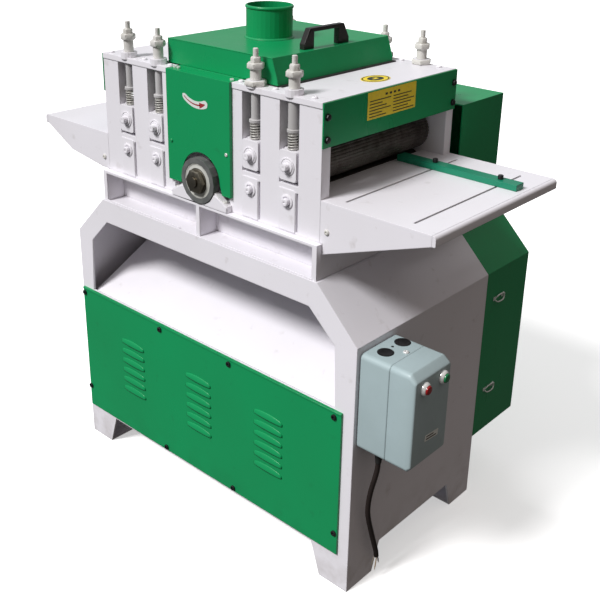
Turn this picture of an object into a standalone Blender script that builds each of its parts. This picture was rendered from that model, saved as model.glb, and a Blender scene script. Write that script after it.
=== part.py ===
"""Power-fed woodworking machine on a sheet-steel cabinet, with its feed rollers, arbor and dust hood.

Metres, +Z up. +X is the infeed end, -Y the operator's side. Places are given from the machine's own
centre: the arbor stands over X = 0, Y = 0 is the middle between the two side plates, and Z = 0 is the
floor. One empty carries every piece, so that the finished machine's bounding box is centred on the origin.
"""

import math

import bmesh
import bpy
from mathutils import Matrix, Vector
from mathutils.geometry import interpolate_bezier

# Fits
GAP = 0.0003
RUNNING_GAP = 0.0006
SHEET = 0.005
ROUND_STEPS = 16
BLOCK_STEPS = 16
PORT_STEPS = 32
SCREW_STEPS = 12
ROLLER_STEPS = 16

# Cabinet
BASE_HALF_X = 0.441
BASE_HALF_Y = 0.236
SHOULDER_Z = 0.585
BASE_TOP_Z = 0.689
BASE_TOP_HALF_X = 0.336
FLOOR_PLATE_Z = 0.078
CHUTE_LOW_Z = 0.426
CHUTE_RISE = 0.5216
LOUVRE_X = (-0.435, 0.413)
LOUVRE_Z = (0.086, 0.431)

# Beam and head
BEAM_TOP_Z = 0.763
BEAM_HALF_X = 0.331
BEAM_HALF_Y = 0.233
PLATE_HALF_X = 0.3244
PLATE_OUT_Y = 0.218
PLATE_IN_Y = 0.193
PLATE_TOP_Z = 1.0247
CAP_TOP_Z = 1.037
CAP_IN_Y = 0.187
CAP_OUT_Y = 0.2195
ARBOR_GAP_X = (-0.092, 0.080)

# Feed stations, from the outfeed end to the infeed end
STATION_X = (-0.248, -0.148, 0.1415, 0.2425)
SLOT_WIDTH = 0.050
SLOT_FOOT_Z = 0.862
GROOVE_WIDTH = 0.0045
GROOVE_DEPTH = 0.008
GROOVE_Z = (0.768, 0.8485)
UPPER_AXIS_Z = 0.898
UPPER_RADIUS = 0.045
LOWER_AXIS_Z = 0.8265
LOWER_RADIUS = 0.024
ROLLER_HALF_Y = 0.188
LOWER_JOURNAL_RADIUS = 0.010
JOURNAL_RADIUS = 0.0125
JOURNAL_CLEARANCE = 0.0003
SPROCKET_Y = (0.2225, 0.2305)
SPROCKET_RADIUS = 0.030
ROLLER_END_Y = 0.237
BLOCK_Z = (0.868, 0.930)
BLOCK_CORNER = 0.006

# Pressure screws
SCREW_Y = 0.2055
SCREW_RADIUS = 0.0095
COLLAR_RADIUS = 0.014
COLLAR_Z = (0.964, 0.9705)
CAP_BOSS_RADIUS = 0.0182
CAP_BOSS_HEIGHT = 0.011
BUSH_RADIUS = 0.0112
LOCK_NUT_FLATS = 0.0305
LOCK_NUT_Z = (1.069, 1.082)
HEAD_FLATS = 0.018
HEAD_TOP_Z = 1.095
TIP_RADIUS = 0.0055
TIP_Z = 1.1115
STEP = 0.0002

# Tables and fence
TABLE_Z = 0.850
INFEED_END_X = 0.576
OUTFEED_END_X = -0.567
TABLE_WALL = 0.004
FENCE_SLOT_X = (0.365, 0.520)
FENCE_SLOT_HALF = 0.0025
FENCE_X = (0.277, 0.564)
FENCE_Y = 0.101
FENCE_HALF_Y = 0.0135
FENCE_TOP_Z = 0.863
FENCE_BOLT_RADIUS = 0.0048
FENCE_BOLT_HEIGHT = 0.0055

# Arbor and its drive
ARBOR_Z = 0.815
ARBOR_RADIUS = 0.019
CUTTER_RADIUS = 0.080
CUTTER_BORE = 0.0233
SPACER_RADIUS = 0.040
NUT_TIP_Y = -0.250
NUT_Y = (-0.2465, -0.2365)
NUT_FLATS = 0.0460
WASHER_RADIUS = 0.0265
THREAD_RADIUS = 0.0110
BEARING_RADIUS = 0.050
BEARING_FACE_Y = -0.2360
BEARING_RECESS_RADIUS = 0.0385
BEARING_FOOT_Y = -0.2320
BEARING_FOOT_TOP_Z = 0.800
PULLEY_Y = (0.300, 0.355)
PULLEY_FLANGE = 0.007
SHAFT_END_Y = 0.362
ARBOR_PULLEY_RADIUS = 0.050
MOTOR_PULLEY_RADIUS = 0.065
MOTOR_Z = 0.300
MOTOR_RADIUS = 0.085

# Hood
HOOD_LEFT_X = -0.140
HOOD_FOOT_X = 0.181
HOOD_TOP_X = 0.165
HOOD_HALF_Y = 0.1845
HOOD_WALL = 0.0025
HOOD_FOOT_Z = 1.0385
HOOD_TOP_Z = 1.090
PORT_X = -0.0025
PORT_Y = -0.017
PORT_RADIUS = 0.050
PORT_TOP_Z = 1.1586
HOOD_HINGE_X = -0.1465
HOOD_HINGE_Z = 1.0455
KNUCKLE_RADIUS = 0.0045
HANDLE_X = (0.139, 0.152)

# Arbor guard and mouth panels
ARBOR_GUARD_X = (-0.102, 0.0885)
ARBOR_GUARD_Y = (-0.2255, -0.2185)
ARBOR_GUARD_FOOT_Z = 0.7955
ARCH_RADIUS = 0.0575
PANEL_FOOT_Z = 0.9505

# Rear guards
GUARD_BACK_Y = 0.420
BELT_GUARD_FOOT_Z = 0.156
CHAIN_GUARD_FRONT_Y = 0.250
CHAIN_GUARD_TOP_Z = 0.953
GUARD_WALL = 0.003

# Starter
BOX_Y = (-0.228, -0.110)
BOX_Z = (0.360, 0.5725)
BOX_SEAM_X = 0.512
BOX_FACE_X = 0.572
BOX_WALL = 0.003
GLAND_RADIUS = 0.010
BUTTON_Z = 0.537
STOP_Y = -0.197
START_Y = -0.137
BUTTON_TIP_X = 0.5785
BUTTON_RADIUS = 0.011
CORD_RADIUS = 0.0055
CORD_ROUTE = (
    (0.4760, -0.1960, 0.3477),
    (0.4745, -0.1970, 0.3050),
    (0.4630, -0.2000, 0.2450),
    (0.4560, -0.1950, 0.1900),
    (0.4555, -0.1780, 0.1300),
    (0.4570, -0.1600, 0.0720),
    (0.4578, -0.1582, 0.0570),
)
CORD_POINTS = 22

CENTRE_X = (OUTFEED_END_X + BUTTON_TIP_X) / 2
CENTRE_Y = (NUT_TIP_Y + GUARD_BACK_Y) / 2


# ---------------------------------------------------------------- outlines


def circle(radius, centre=(0.0, 0.0), steps=ROUND_STEPS):
    """Points of a circle, anticlockwise from the +U direction."""
    turns = (2 * math.pi * step / steps for step in range(steps))
    return [(centre[0] + radius * math.cos(a), centre[1] + radius * math.sin(a)) for a in turns]


def hexagon(flats, centre=(0.0, 0.0), steps=ROUND_STEPS):
    """Points round a hexagon, evenly spread in angle, with two of its flats facing along the V axis."""
    points = []
    for step in range(steps):
        angle = 2 * math.pi * step / steps
        off_flat = angle % (math.pi / 3) - math.pi / 6
        reach = flats / 2 / math.cos(off_flat)
        points.append((centre[0] + reach * math.cos(angle), centre[1] + reach * math.sin(angle)))
    return points


def rounded_box(low, high, radius, steps=ROUND_STEPS):
    """Points of a rectangle with round corners, anticlockwise, as many as a circle has."""
    per_corner = steps // 4
    corners = ((high[0], high[1], 0), (low[0], high[1], 1), (low[0], low[1], 2), (high[0], low[1], 3))
    points = []
    for u, v, quarter in corners:
        inward = ((-1, -1), (1, -1), (1, 1), (-1, 1))[quarter]
        hub = (u + inward[0] * radius, v + inward[1] * radius)
        for step in range(per_corner):
            angle = math.pi / 2 * (quarter + step / (per_corner - 1))
            points.append((hub[0] + radius * math.cos(angle), hub[1] + radius * math.sin(angle)))
    return points


def arc(centre, radius, start, end, steps):
    """Points of an arc from the start angle to the end angle, in degrees."""
    angles = (math.radians(start + (end - start) * step / steps) for step in range(steps + 1))
    return [(centre[0] + radius * math.cos(a), centre[1] + radius * math.sin(a)) for a in angles]


# ---------------------------------------------------------------- solids


def place(axis, u, v, along):
    """A point from its outline coordinates and its distance along the axis of an extrusion."""
    return {"X": (along, u, v), "Y": (u, along, v), "Z": (u, v, along)}[axis]


def stack(bm, axis, rings, closed=False):
    """Joins rings (distance along the axis, outline) into one solid. A closed stack has a hole through it."""
    loops = [[bm.verts.new(place(axis, u, v, along)) for u, v in outline] for along, outline in rings]
    pairs = list(zip(loops, loops[1:]))
    if closed:
        pairs.append((loops[-1], loops[0]))
    for lower, upper in pairs:
        for index in range(len(lower)):
            after = (index + 1) % len(lower)
            bm.faces.new((lower[index], lower[after], upper[after], upper[index]))
    if not closed:
        bm.faces.new(loops[0])
        bm.faces.new(loops[-1])


def prism(bm, axis, outline, low, high):
    """An outline extruded from low to high along the axis."""
    stack(bm, axis, [(low, outline), (high, outline)])


def box(bm, x, y, z):
    """A box between the given limits."""
    prism(bm, "Z", [(x[0], y[0]), (x[1], y[0]), (x[1], y[1]), (x[0], y[1])], z[0], z[1])


def turned(bm, axis, profile, centre=(0.0, 0.0), steps=ROUND_STEPS, closed=False):
    """A round piece from (distance along the axis, radius) pairs."""
    stack(bm, axis, [(along, circle(radius, centre, steps)) for along, radius in profile], closed)


def mesh_of(name, build):
    """A mesh made by build(bm), with its faces pointing out."""
    bm = bmesh.new()
    build(bm)
    bmesh.ops.recalc_face_normals(bm, faces=bm.faces)
    mesh = bpy.data.meshes.new(name)
    bm.to_mesh(mesh)
    bm.free()
    return mesh


# ---------------------------------------------------------------- objects


def finish(name, colour, roughness, metallic=0.0):
    """A Principled material."""
    material = bpy.data.materials.new(name)
    material.use_nodes = True
    surface = material.node_tree.nodes["Principled BSDF"]
    surface.inputs["Base Color"].default_value = (*colour, 1.0)
    surface.inputs["Roughness"].default_value = roughness
    surface.inputs["Metallic"].default_value = metallic
    return material


class Shop:
    """Holds the machine's empty and its finishes, and puts each piece in the scene."""

    def __init__(self):
        self.frame = bpy.data.objects.new("machine_frame", None)
        bpy.context.scene.collection.objects.link(self.frame)
        self.frame.location = (-CENTRE_X, -CENTRE_Y, 0.0)
        self.paint = finish("white_paint", (0.70, 0.67, 0.72), 0.40)
        self.green = finish("green_paint", (0.01, 0.30, 0.11), 0.30)
        self.steel = finish("steel", (0.45, 0.44, 0.42), 0.35, 1.0)
        self.zinc = finish("zinc_plate", (0.75, 0.73, 0.70), 0.40, 1.0)
        self.iron = finish("cast_iron", (0.12, 0.12, 0.12), 0.50, 1.0)
        self.rubber = finish("rubber", (0.02, 0.02, 0.02), 0.70)
        self.plastic = finish("black_plastic", (0.03, 0.03, 0.03), 0.45)
        self.casing = finish("grey_casing", (0.37, 0.46, 0.47), 0.45)
        self.motor = finish("motor_paint", (0.10, 0.16, 0.22), 0.45)
        self.red = finish("red_button", (0.60, 0.02, 0.02), 0.30)
        self.button_green = finish("green_button", (0.02, 0.40, 0.08), 0.30)

    def piece(self, name, material, build, location=(0.0, 0.0, 0.0), turn_deg=0.0):
        """A named object on the machine's empty, turned about +Z where it is placed."""
        return self.copy(name, material, mesh_of(name, build), location, turn_deg)

    def copy(self, name, material, mesh, location=(0.0, 0.0, 0.0), turn_deg=0.0):
        """An object that may share its mesh with others."""
        obj = bpy.data.objects.new(name, mesh)
        if not mesh.materials:
            mesh.materials.append(material)
        bpy.context.scene.collection.objects.link(obj)
        obj.parent = self.frame
        obj.location = location
        obj.rotation_euler.z = math.radians(turn_deg)
        return obj


def smooth(obj, angle_deg=40.0):
    """Shades the round faces smooth and keeps the edges sharp."""
    obj.data.shade_smooth()
    obj.data.set_sharp_from_angle(angle=math.radians(angle_deg))
    return obj


def combine(obj, operation, build):
    """Applies a Boolean to the object's mesh, with a tool built in the object's own space."""
    tool = bpy.data.objects.new(obj.name + "_tool", mesh_of(obj.name + "_tool", build))
    bpy.context.scene.collection.objects.link(tool)
    tool.hide_render = True
    tool.display_type = "WIRE"
    tool.parent = obj
    modifier = obj.modifiers.new(operation.title(), "BOOLEAN")
    modifier.operation = operation
    modifier.solver = "EXACT"
    modifier.object = tool
    return tool


# ---------------------------------------------------------------- cabinet


def cabinet_outline(inset=0.0, foot=0.0):
    """The cabinet's outline seen from the front, moved inwards by the inset."""
    bevel = inset * math.tan(math.radians(22.5))
    side, top = BASE_HALF_X - inset, BASE_TOP_Z - inset
    shoulder, half_top = SHOULDER_Z - bevel, BASE_TOP_HALF_X - bevel
    right = [(side, foot), (side, shoulder), (half_top, top)]
    return right + [(-x, z) for x, z in reversed(right)]


def chute_height(y):
    """The chute's upper face, which climbs from the front of the cabinet to its back."""
    return CHUTE_LOW_Z + CHUTE_RISE * (y + BASE_HALF_Y - SHEET)


def base_cabinet(shop):
    """Folded steel cabinet: four feet, a floor plate, an open front above a sloping chip chute."""
    inner_y = BASE_HALF_Y - SHEET
    cabinet = shop.piece(
        "base_cabinet",
        shop.paint,
        lambda bm: prism(bm, "Y", cabinet_outline(), -BASE_HALF_Y, BASE_HALF_Y),
    )

    def hollow(bm):
        prism(bm, "Y", cabinet_outline(SHEET, FLOOR_PLATE_Z + SHEET), -inner_y, inner_y)
        box(bm, (SHEET - BASE_HALF_X, BASE_HALF_X - SHEET), (-inner_y, inner_y), (SHEET, FLOOR_PLATE_Z))

    def gaps_between_feet(bm):
        prism(bm, "Y", [(-0.367, -0.01), (0.367, -0.01), (0.339, 0.0778), (-0.339, 0.0778)], -0.3, 0.3)

    def gaps_at_ends(bm):
        prism(bm, "X", [(-0.153, -0.01), (0.160, -0.01), (0.137, 0.070), (-0.127, 0.070)], -0.5, 0.5)

    def front_opening(bm):
        right = [(0.392, 0.432), (0.386, 0.570), (0.317, 0.633)]
        left = [(-0.326, 0.633), (-0.389, 0.570), (-0.398, 0.432)]
        prism(bm, "Y", right + left, -0.3, -0.2)
        box(bm, (-0.405, 0.385), (-0.3, -0.2), (0.115, 0.405))

    def chute(bm):
        half = inner_y + SHEET / 2
        low, high = chute_height(-half), chute_height(half)
        under = 0.0056
        prism(bm, "X", [(-half, low - under), (half, high - under), (half, high), (-half, low)], -0.4, 0.4)

    def chute_limits(bm):
        prism(bm, "Y", cabinet_outline(SHEET / 2), -BASE_HALF_Y, BASE_HALF_Y)

    def holes(bm):
        box(bm, (-0.250, 0.250), (-0.165, 0.165), (0.660, 0.700))
        turned(bm, "Y", [(0.22, 0.030), (0.25, 0.030)], (0.0, MOTOR_Z))

    combine(cabinet, "DIFFERENCE", hollow)
    combine(cabinet, "DIFFERENCE", gaps_between_feet)
    combine(cabinet, "DIFFERENCE", gaps_at_ends)
    combine(cabinet, "DIFFERENCE", front_opening)
    slope = combine(cabinet, "UNION", chute)
    combine(slope, "INTERSECT", chute_limits)
    combine(cabinet, "DIFFERENCE", holes)
    return cabinet


def louvre_panel(shop):
    """Removable front panel with three groups of ventilation slits."""
    front = -BASE_HALF_Y - SHEET
    panel = shop.piece(
        "louvre_panel",
        shop.green,
        lambda bm: box(bm, LOUVRE_X, (front, -BASE_HALF_Y - GAP), LOUVRE_Z),
    )

    def slits(bm):
        for low_x, high_x in ((-0.286, -0.204), (-0.050, 0.032), (0.172, 0.254)):
            for row in range(6):
                z = 0.197 + row * 0.0265
                box(bm, (low_x, high_x), (-0.3, -0.2), (z, z + 0.005))

    combine(panel, "DIFFERENCE", slits)
    return panel


def bed_frame(shop):
    """Welded beam under the head, with end plates, a middle rib and the cross bars between the rollers."""
    bottom = BASE_TOP_Z + GAP
    frame = shop.piece(
        "bed_frame",
        shop.paint,
        lambda bm: box(bm, (-BEAM_HALF_X, BEAM_HALF_X), (-BEAM_HALF_Y, BEAM_HALF_Y), (bottom, BEAM_TOP_Z)),
    )

    def recesses(bm):
        for low_x, high_x in ((-0.319, -0.010), (0.001, 0.319)):
            box(bm, (low_x, high_x), (-0.3, -0.183), (0.68, 0.757))
            box(bm, (low_x, high_x), (0.183, 0.3), (0.68, 0.757))
        box(bm, (-0.319, 0.319), (-0.170, 0.170), (0.68, 0.80))

    def cross_bars(bm):
        half = PLATE_IN_Y - 0.0005
        for low_x, high_x in ((-0.2235, -0.1730), (-0.1230, -0.0860), (0.0860, 0.1165), (0.1670, 0.2175)):
            box(bm, (low_x, high_x), (-half, half), (0.745, TABLE_Z))

    combine(frame, "DIFFERENCE", recesses)
    combine(frame, "UNION", cross_bars)
    return frame


# ---------------------------------------------------------------- head


def side_plate(shop, name, side):
    """Thick side plate with four open-topped slots. Its side is -1 in front and 1 behind."""
    low_y, high_y = sorted((side * PLATE_IN_Y, side * PLATE_OUT_Y))
    plate = shop.piece(
        name,
        shop.paint,
        lambda bm: box(bm, (-PLATE_HALF_X, PLATE_HALF_X), (low_y, high_y), (BEAM_TOP_Z + GAP, PLATE_TOP_Z)),
    )

    def openings(bm):
        half = SLOT_WIDTH / 2
        box(bm, ARBOR_GAP_X, (low_y - 0.01, high_y + 0.01), (0.777, 1.1))
        for x in STATION_X:
            box(bm, (x - half, x + half), (low_y - 0.01, high_y + 0.01), (SLOT_FOOT_Z, 1.1))

    def lower_bores(bm):
        blind_y = side * (PLATE_IN_Y + 0.012)
        far_y = blind_y if side < 0 else 0.23
        bore = LOWER_JOURNAL_RADIUS + JOURNAL_CLEARANCE
        for x in STATION_X:
            turned(bm, "Y", [(side * 0.18, bore), (far_y, bore)], (x, LOWER_AXIS_Z))

    def grooves(bm):
        face, floor = side * 0.23, side * (PLATE_OUT_Y - GROOVE_DEPTH)
        for x in STATION_X:
            edge = x + SLOT_WIDTH / 2
            box(bm, (edge - GROOVE_WIDTH, edge), sorted((face, floor)), GROOVE_Z)

    combine(plate, "DIFFERENCE", openings)
    combine(plate, "DIFFERENCE", lower_bores)
    combine(plate, "DIFFERENCE", grooves)
    return plate


def cap_bar(shop, name, limits_x, side):
    """Bar across the slots' open tops, with a raised boss round each pressure screw."""
    low_y, high_y = sorted((side * CAP_IN_Y, side * CAP_OUT_Y))
    screws = [x for x in STATION_X if limits_x[0] < x < limits_x[1]]
    limits_z = (PLATE_TOP_Z + GAP, CAP_TOP_Z)
    bar = shop.piece(name, shop.paint, lambda bm: box(bm, limits_x, (low_y, high_y), limits_z))

    def bosses(bm):
        for x in screws:
            ends = [(CAP_TOP_Z - 0.004, CAP_BOSS_RADIUS), (CAP_TOP_Z + CAP_BOSS_HEIGHT, CAP_BOSS_RADIUS)]
            turned(bm, "Z", ends, (x, side * SCREW_Y))

    def bores(bm):
        for x in screws:
            turned(bm, "Z", [(1.0, SCREW_RADIUS + GAP), (1.1, SCREW_RADIUS + GAP)], (x, side * SCREW_Y))

    combine(bar, "UNION", bosses)
    combine(bar, "DIFFERENCE", bores)
    return bar


def pressure_screw_mesh():
    """Adjusting screw: spring collar, shank, lock nut, hexagon head and tip, from its collar's foot."""

    def ring(radius):
        return circle(radius, steps=SCREW_STEPS)

    def nut(flats):
        return hexagon(flats, steps=SCREW_STEPS)

    def build(bm):
        collar_foot, collar_top = COLLAR_Z
        bush_foot = CAP_TOP_Z + CAP_BOSS_HEIGHT + GAP
        nut_foot, nut_top = LOCK_NUT_Z
        rings = [
            (collar_foot, ring(COLLAR_RADIUS)),
            (collar_top, ring(COLLAR_RADIUS)),
            (collar_top + 0.001, ring(SCREW_RADIUS)),
            (bush_foot, ring(SCREW_RADIUS)),
            (bush_foot + STEP, ring(BUSH_RADIUS)),
            (nut_foot, ring(BUSH_RADIUS)),
            (nut_foot + STEP, nut(LOCK_NUT_FLATS)),
            (nut_top, nut(LOCK_NUT_FLATS)),
            (nut_top + STEP, nut(HEAD_FLATS)),
            (HEAD_TOP_Z, nut(HEAD_FLATS)),
            (HEAD_TOP_Z + STEP, ring(TIP_RADIUS)),
            (TIP_Z - 0.002, ring(TIP_RADIUS)),
            (TIP_Z, ring(TIP_RADIUS - 0.0015)),
        ]
        stack(bm, "Z", rings)

    return mesh_of("pressure_screw", build)


def bearing_block_mesh(through):
    """Sliding bearing block, seen as the front one. A through block is bored right through."""
    low_z, high_z = BLOCK_Z
    half = SLOT_WIDTH / 2 - GAP
    back_y, front_y = -PLATE_IN_Y, -PLATE_OUT_Y - 0.0015
    step_y = -PLATE_OUT_Y + 0.012
    bore = circle(JOURNAL_RADIUS + JOURNAL_CLEARANCE, (0.0, UPPER_AXIS_Z), BLOCK_STEPS)
    full = rounded_box((-half, low_z), (half, high_z), 0.002, BLOCK_STEPS)
    face_low, face_high = (-half + 0.0005, low_z + 0.0005), (half - 0.0045, high_z - 0.0005)
    face = rounded_box(face_low, face_high, BLOCK_CORNER, BLOCK_STEPS)

    def build(bm):
        rings = [(back_y, full), (step_y, full), (step_y, face), (front_y, face)]
        if through:
            stack(bm, "Y", [(back_y, bore), *rings, (front_y, bore)], closed=True)
            return
        boss_centre = (-0.002, UPPER_AXIS_Z)
        boss = [
            (front_y - height, circle(radius, boss_centre, BLOCK_STEPS))
            for height, radius in ((0.0, 0.0150), (0.003, 0.0135), (0.003, 0.0080), (0.012, 0.0075))
        ]
        stack(bm, "Y", [(back_y - 0.0150, bore), (back_y, bore), *rings, *boss])

    return mesh_of("bearing_block", build)


def roller_mesh(name, radius, journal, end_y):
    """Feed roller on its own axis, with a blind journal in front and a sprocket behind the rear plate."""
    sprocket_y, sprocket_end_y = SPROCKET_Y
    profile = [
        (-end_y, journal),
        (-ROLLER_HALF_Y, journal),
        (-ROLLER_HALF_Y, radius),
        (ROLLER_HALF_Y, radius),
        (ROLLER_HALF_Y, journal),
        (sprocket_y, journal),
        (sprocket_y, SPROCKET_RADIUS),
        (sprocket_end_y, SPROCKET_RADIUS),
        (sprocket_end_y, journal),
        (ROLLER_END_Y, journal),
    ]
    return mesh_of(name, lambda bm: turned(bm, "Y", profile, steps=ROLLER_STEPS))


def feed_stations(shop):
    """Upper rollers in sliding blocks under pressure screws, and lower rollers in the side plates."""
    front_block, rear_block = bearing_block_mesh(False), bearing_block_mesh(True)
    screw = pressure_screw_mesh()
    upper = roller_mesh("upper_roller", UPPER_RADIUS, JOURNAL_RADIUS, PLATE_IN_Y + 0.0145)
    lower = roller_mesh("lower_roller", LOWER_RADIUS, LOWER_JOURNAL_RADIUS, PLATE_IN_Y + 0.0115)
    for number, x in enumerate(STATION_X, start=1):
        smooth(shop.copy(f"upper_roller_{number}", shop.steel, upper, (x, 0.0, UPPER_AXIS_Z)))
        smooth(shop.copy(f"lower_roller_{number}", shop.steel, lower, (x, 0.0, LOWER_AXIS_Z)))
        smooth(shop.copy(f"upper_block_front_{number}", shop.paint, front_block, (x, 0.0, 0.0)))
        smooth(shop.copy(f"upper_block_rear_{number}", shop.paint, rear_block, (x, 0.0, 0.0), 180.0))
        smooth(shop.copy(f"pressure_screw_front_{number}", shop.zinc, screw, (x, -SCREW_Y, 0.0)))
        smooth(shop.copy(f"pressure_screw_rear_{number}", shop.zinc, screw, (x, SCREW_Y, 0.0)))


def plain_box(shop, name, material, x, y, z):
    """A piece that is one box."""
    return shop.piece(name, material, lambda bm: box(bm, x, y, z))


def head_covers(shop):
    """Top covers between the cap bars, and the green panels over the infeed and outfeed mouths."""
    half, panel_half = CAP_IN_Y - GAP, 0.219
    cover_z, panel_z = (CAP_TOP_Z - 0.003, CAP_TOP_Z), (PANEL_FOOT_Z, 1.036)
    plain_box(shop, "outfeed_top_cover", shop.paint, (-PLATE_HALF_X, -0.1560), (-half, half), cover_z)
    plain_box(shop, "infeed_top_cover", shop.paint, (0.1850, PLATE_HALF_X), (-half, half), cover_z)
    near, far = PLATE_HALF_X + GAP, PLATE_HALF_X + 0.0033
    plain_box(shop, "outfeed_guard_panel", shop.green, (-far, -near), (-panel_half, panel_half), panel_z)
    plain_box(shop, "infeed_guard_panel", shop.green, (near, far), (-panel_half, panel_half), panel_z)


def arbor_guard(shop):
    """Green plate in front of the arbor, arched at the foot and folded back over the top."""
    left, right = ARBOR_GUARD_X
    front, back = ARBOR_GUARD_Y
    foot = ARBOR_GUARD_FOOT_Z
    wall = 0.0025
    guard = shop.piece(
        "arbor_guard",
        shop.green,
        lambda bm: box(bm, (left, right), (front, back), (foot, CAP_TOP_Z)),
    )

    def fold(bm):
        box(bm, (left, right), (back - 0.002, -0.189), (CAP_TOP_Z - wall, CAP_TOP_Z))

    def hollow(bm):
        box(bm, (left + wall, right - wall), (front + wall, -0.21), (foot - 0.01, CAP_TOP_Z - wall))

    def arch(bm):
        splay = ARCH_RADIUS + 0.009
        sides = [(-splay, foot - 0.01), (splay, foot - 0.01)]
        prism(bm, "Y", sides + arc((0.0, ARBOR_Z + 0.0025), ARCH_RADIUS, 0, 180, 16), -0.24, -0.18)

    combine(guard, "UNION", fold)
    combine(guard, "DIFFERENCE", hollow)
    combine(guard, "DIFFERENCE", arch)
    return guard


# ---------------------------------------------------------------- tables


def table(shop, name, outline, tongue_x, end_x, sign):
    """Folded table: a plate with side aprons and an end lip, and a tongue that reaches in to the roller."""
    piece = shop.piece(name, shop.paint, lambda bm: prism(bm, "Y", outline, -PLATE_OUT_Y, PLATE_OUT_Y))
    half_y = PLATE_OUT_Y - TABLE_WALL

    def hollow(bm):
        limits = sorted((sign * 0.30, end_x - sign * TABLE_WALL))
        box(bm, limits, (-half_y, half_y), (0.70, TABLE_Z - SHEET))

    def tongue(bm):
        half = PLATE_IN_Y - 0.0005
        limits = sorted((tongue_x, sign * (PLATE_HALF_X + 0.004)))
        box(bm, limits, (-half, half), (TABLE_Z - SHEET - 0.003, TABLE_Z))

    combine(piece, "DIFFERENCE", hollow)
    combine(piece, "UNION", tongue)
    return piece


def tables(shop):
    """Infeed table with two fence slots, and outfeed table."""
    near, clear = PLATE_HALF_X + GAP, BEAM_HALF_X + 0.0008
    clear_z = BEAM_TOP_Z + 0.0008
    infeed_outline = [
        (near, TABLE_Z),
        (near, clear_z),
        (clear, clear_z),
        (clear, 0.7415),
        (INFEED_END_X, 0.8285),
        (INFEED_END_X, TABLE_Z),
    ]
    outfeed_outline = [
        (-near, TABLE_Z),
        (-near, clear_z),
        (-0.3520, clear_z),
        (-0.4725, 0.7810),
        (OUTFEED_END_X, 0.8300),
        (OUTFEED_END_X, TABLE_Z),
    ]
    infeed = table(shop, "infeed_table", infeed_outline, 0.2685, INFEED_END_X, 1)
    table(shop, "outfeed_table", outfeed_outline, -0.2740, OUTFEED_END_X, -1)

    def slots(bm):
        for x in FENCE_SLOT_X:
            box(bm, (x - FENCE_SLOT_HALF, x + FENCE_SLOT_HALF), (-0.191, 0.188), (0.83, 0.87))

    combine(infeed, "DIFFERENCE", slots)


def fence(shop):
    """Green guide bar held by a clamping bolt in each table slot."""
    foot_z, nut_top = TABLE_Z + GAP, TABLE_Z - SHEET - GAP
    bar = shop.piece(
        "fence",
        shop.green,
        lambda bm: box(bm, FENCE_X, (-FENCE_HALF_Y, FENCE_HALF_Y), (foot_z, FENCE_TOP_Z)),
        (0.0, FENCE_Y, 0.0),
    )

    def bolts(bm):
        nut_radius, neck_radius = 0.0070, FENCE_SLOT_HALF - 0.0004
        profile = [
            (0.8340, nut_radius),
            (nut_top, nut_radius),
            (nut_top, neck_radius),
            (FENCE_TOP_Z - 0.003, neck_radius),
            (FENCE_TOP_Z - 0.003, FENCE_BOLT_RADIUS),
            (FENCE_TOP_Z + FENCE_BOLT_HEIGHT, FENCE_BOLT_RADIUS),
        ]
        for x in FENCE_SLOT_X:
            turned(bm, "Z", profile, (x, 0.0), SCREW_STEPS)

    combine(bar, "UNION", bolts)
    return bar


# ---------------------------------------------------------------- arbor and drive


def arbor_bearing_mesh():
    """Bearing housing with a foot plate, as the front one: a round boss outside and a smaller one inside."""
    plate_y, inner_y = -PLATE_OUT_Y - 0.0005, -0.1800
    centre = (0.0, ARBOR_Z)
    bore, inner_radius = ARBOR_RADIUS + RUNNING_GAP, 0.034

    def housing(bm):
        profile = [
            (inner_y, bore),
            (inner_y, inner_radius),
            (plate_y, inner_radius),
            (plate_y, BEARING_RADIUS),
            (BEARING_FACE_Y, BEARING_RADIUS),
            (BEARING_FACE_Y, BEARING_RECESS_RADIUS),
            (BEARING_FOOT_Y, BEARING_RECESS_RADIUS),
            (BEARING_FOOT_Y, bore),
        ]
        turned(bm, "Y", profile, centre, closed=True)

    return mesh_of("arbor_bearing", housing)


def bearing_foot(bm):
    """Pedestal that carries the housing from the beam's top."""
    foot_z, shelf_z, half, half_top = BEAM_TOP_Z + GAP, 0.7765, 0.085, 0.047
    right = [(half, foot_z), (half, shelf_z), (half_top, BEARING_FOOT_TOP_Z)]
    left = [(-x, z) for x, z in reversed(right)]
    prism(bm, "Y", right + left, BEARING_FOOT_Y, -PLATE_OUT_Y - 0.0005)


def bearing_bore(bm):
    """Clears the housing's recess and bore through the pedestal."""
    recess_y, bore = BEARING_FOOT_Y - 0.0001, ARBOR_RADIUS + RUNNING_GAP
    turned(bm, "Y", [(-0.24, BEARING_RECESS_RADIUS), (recess_y, BEARING_RECESS_RADIUS)], (0.0, ARBOR_Z))
    turned(bm, "Y", [(BEARING_FOOT_Y, bore), (-0.17, bore)], (0.0, ARBOR_Z))


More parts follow.
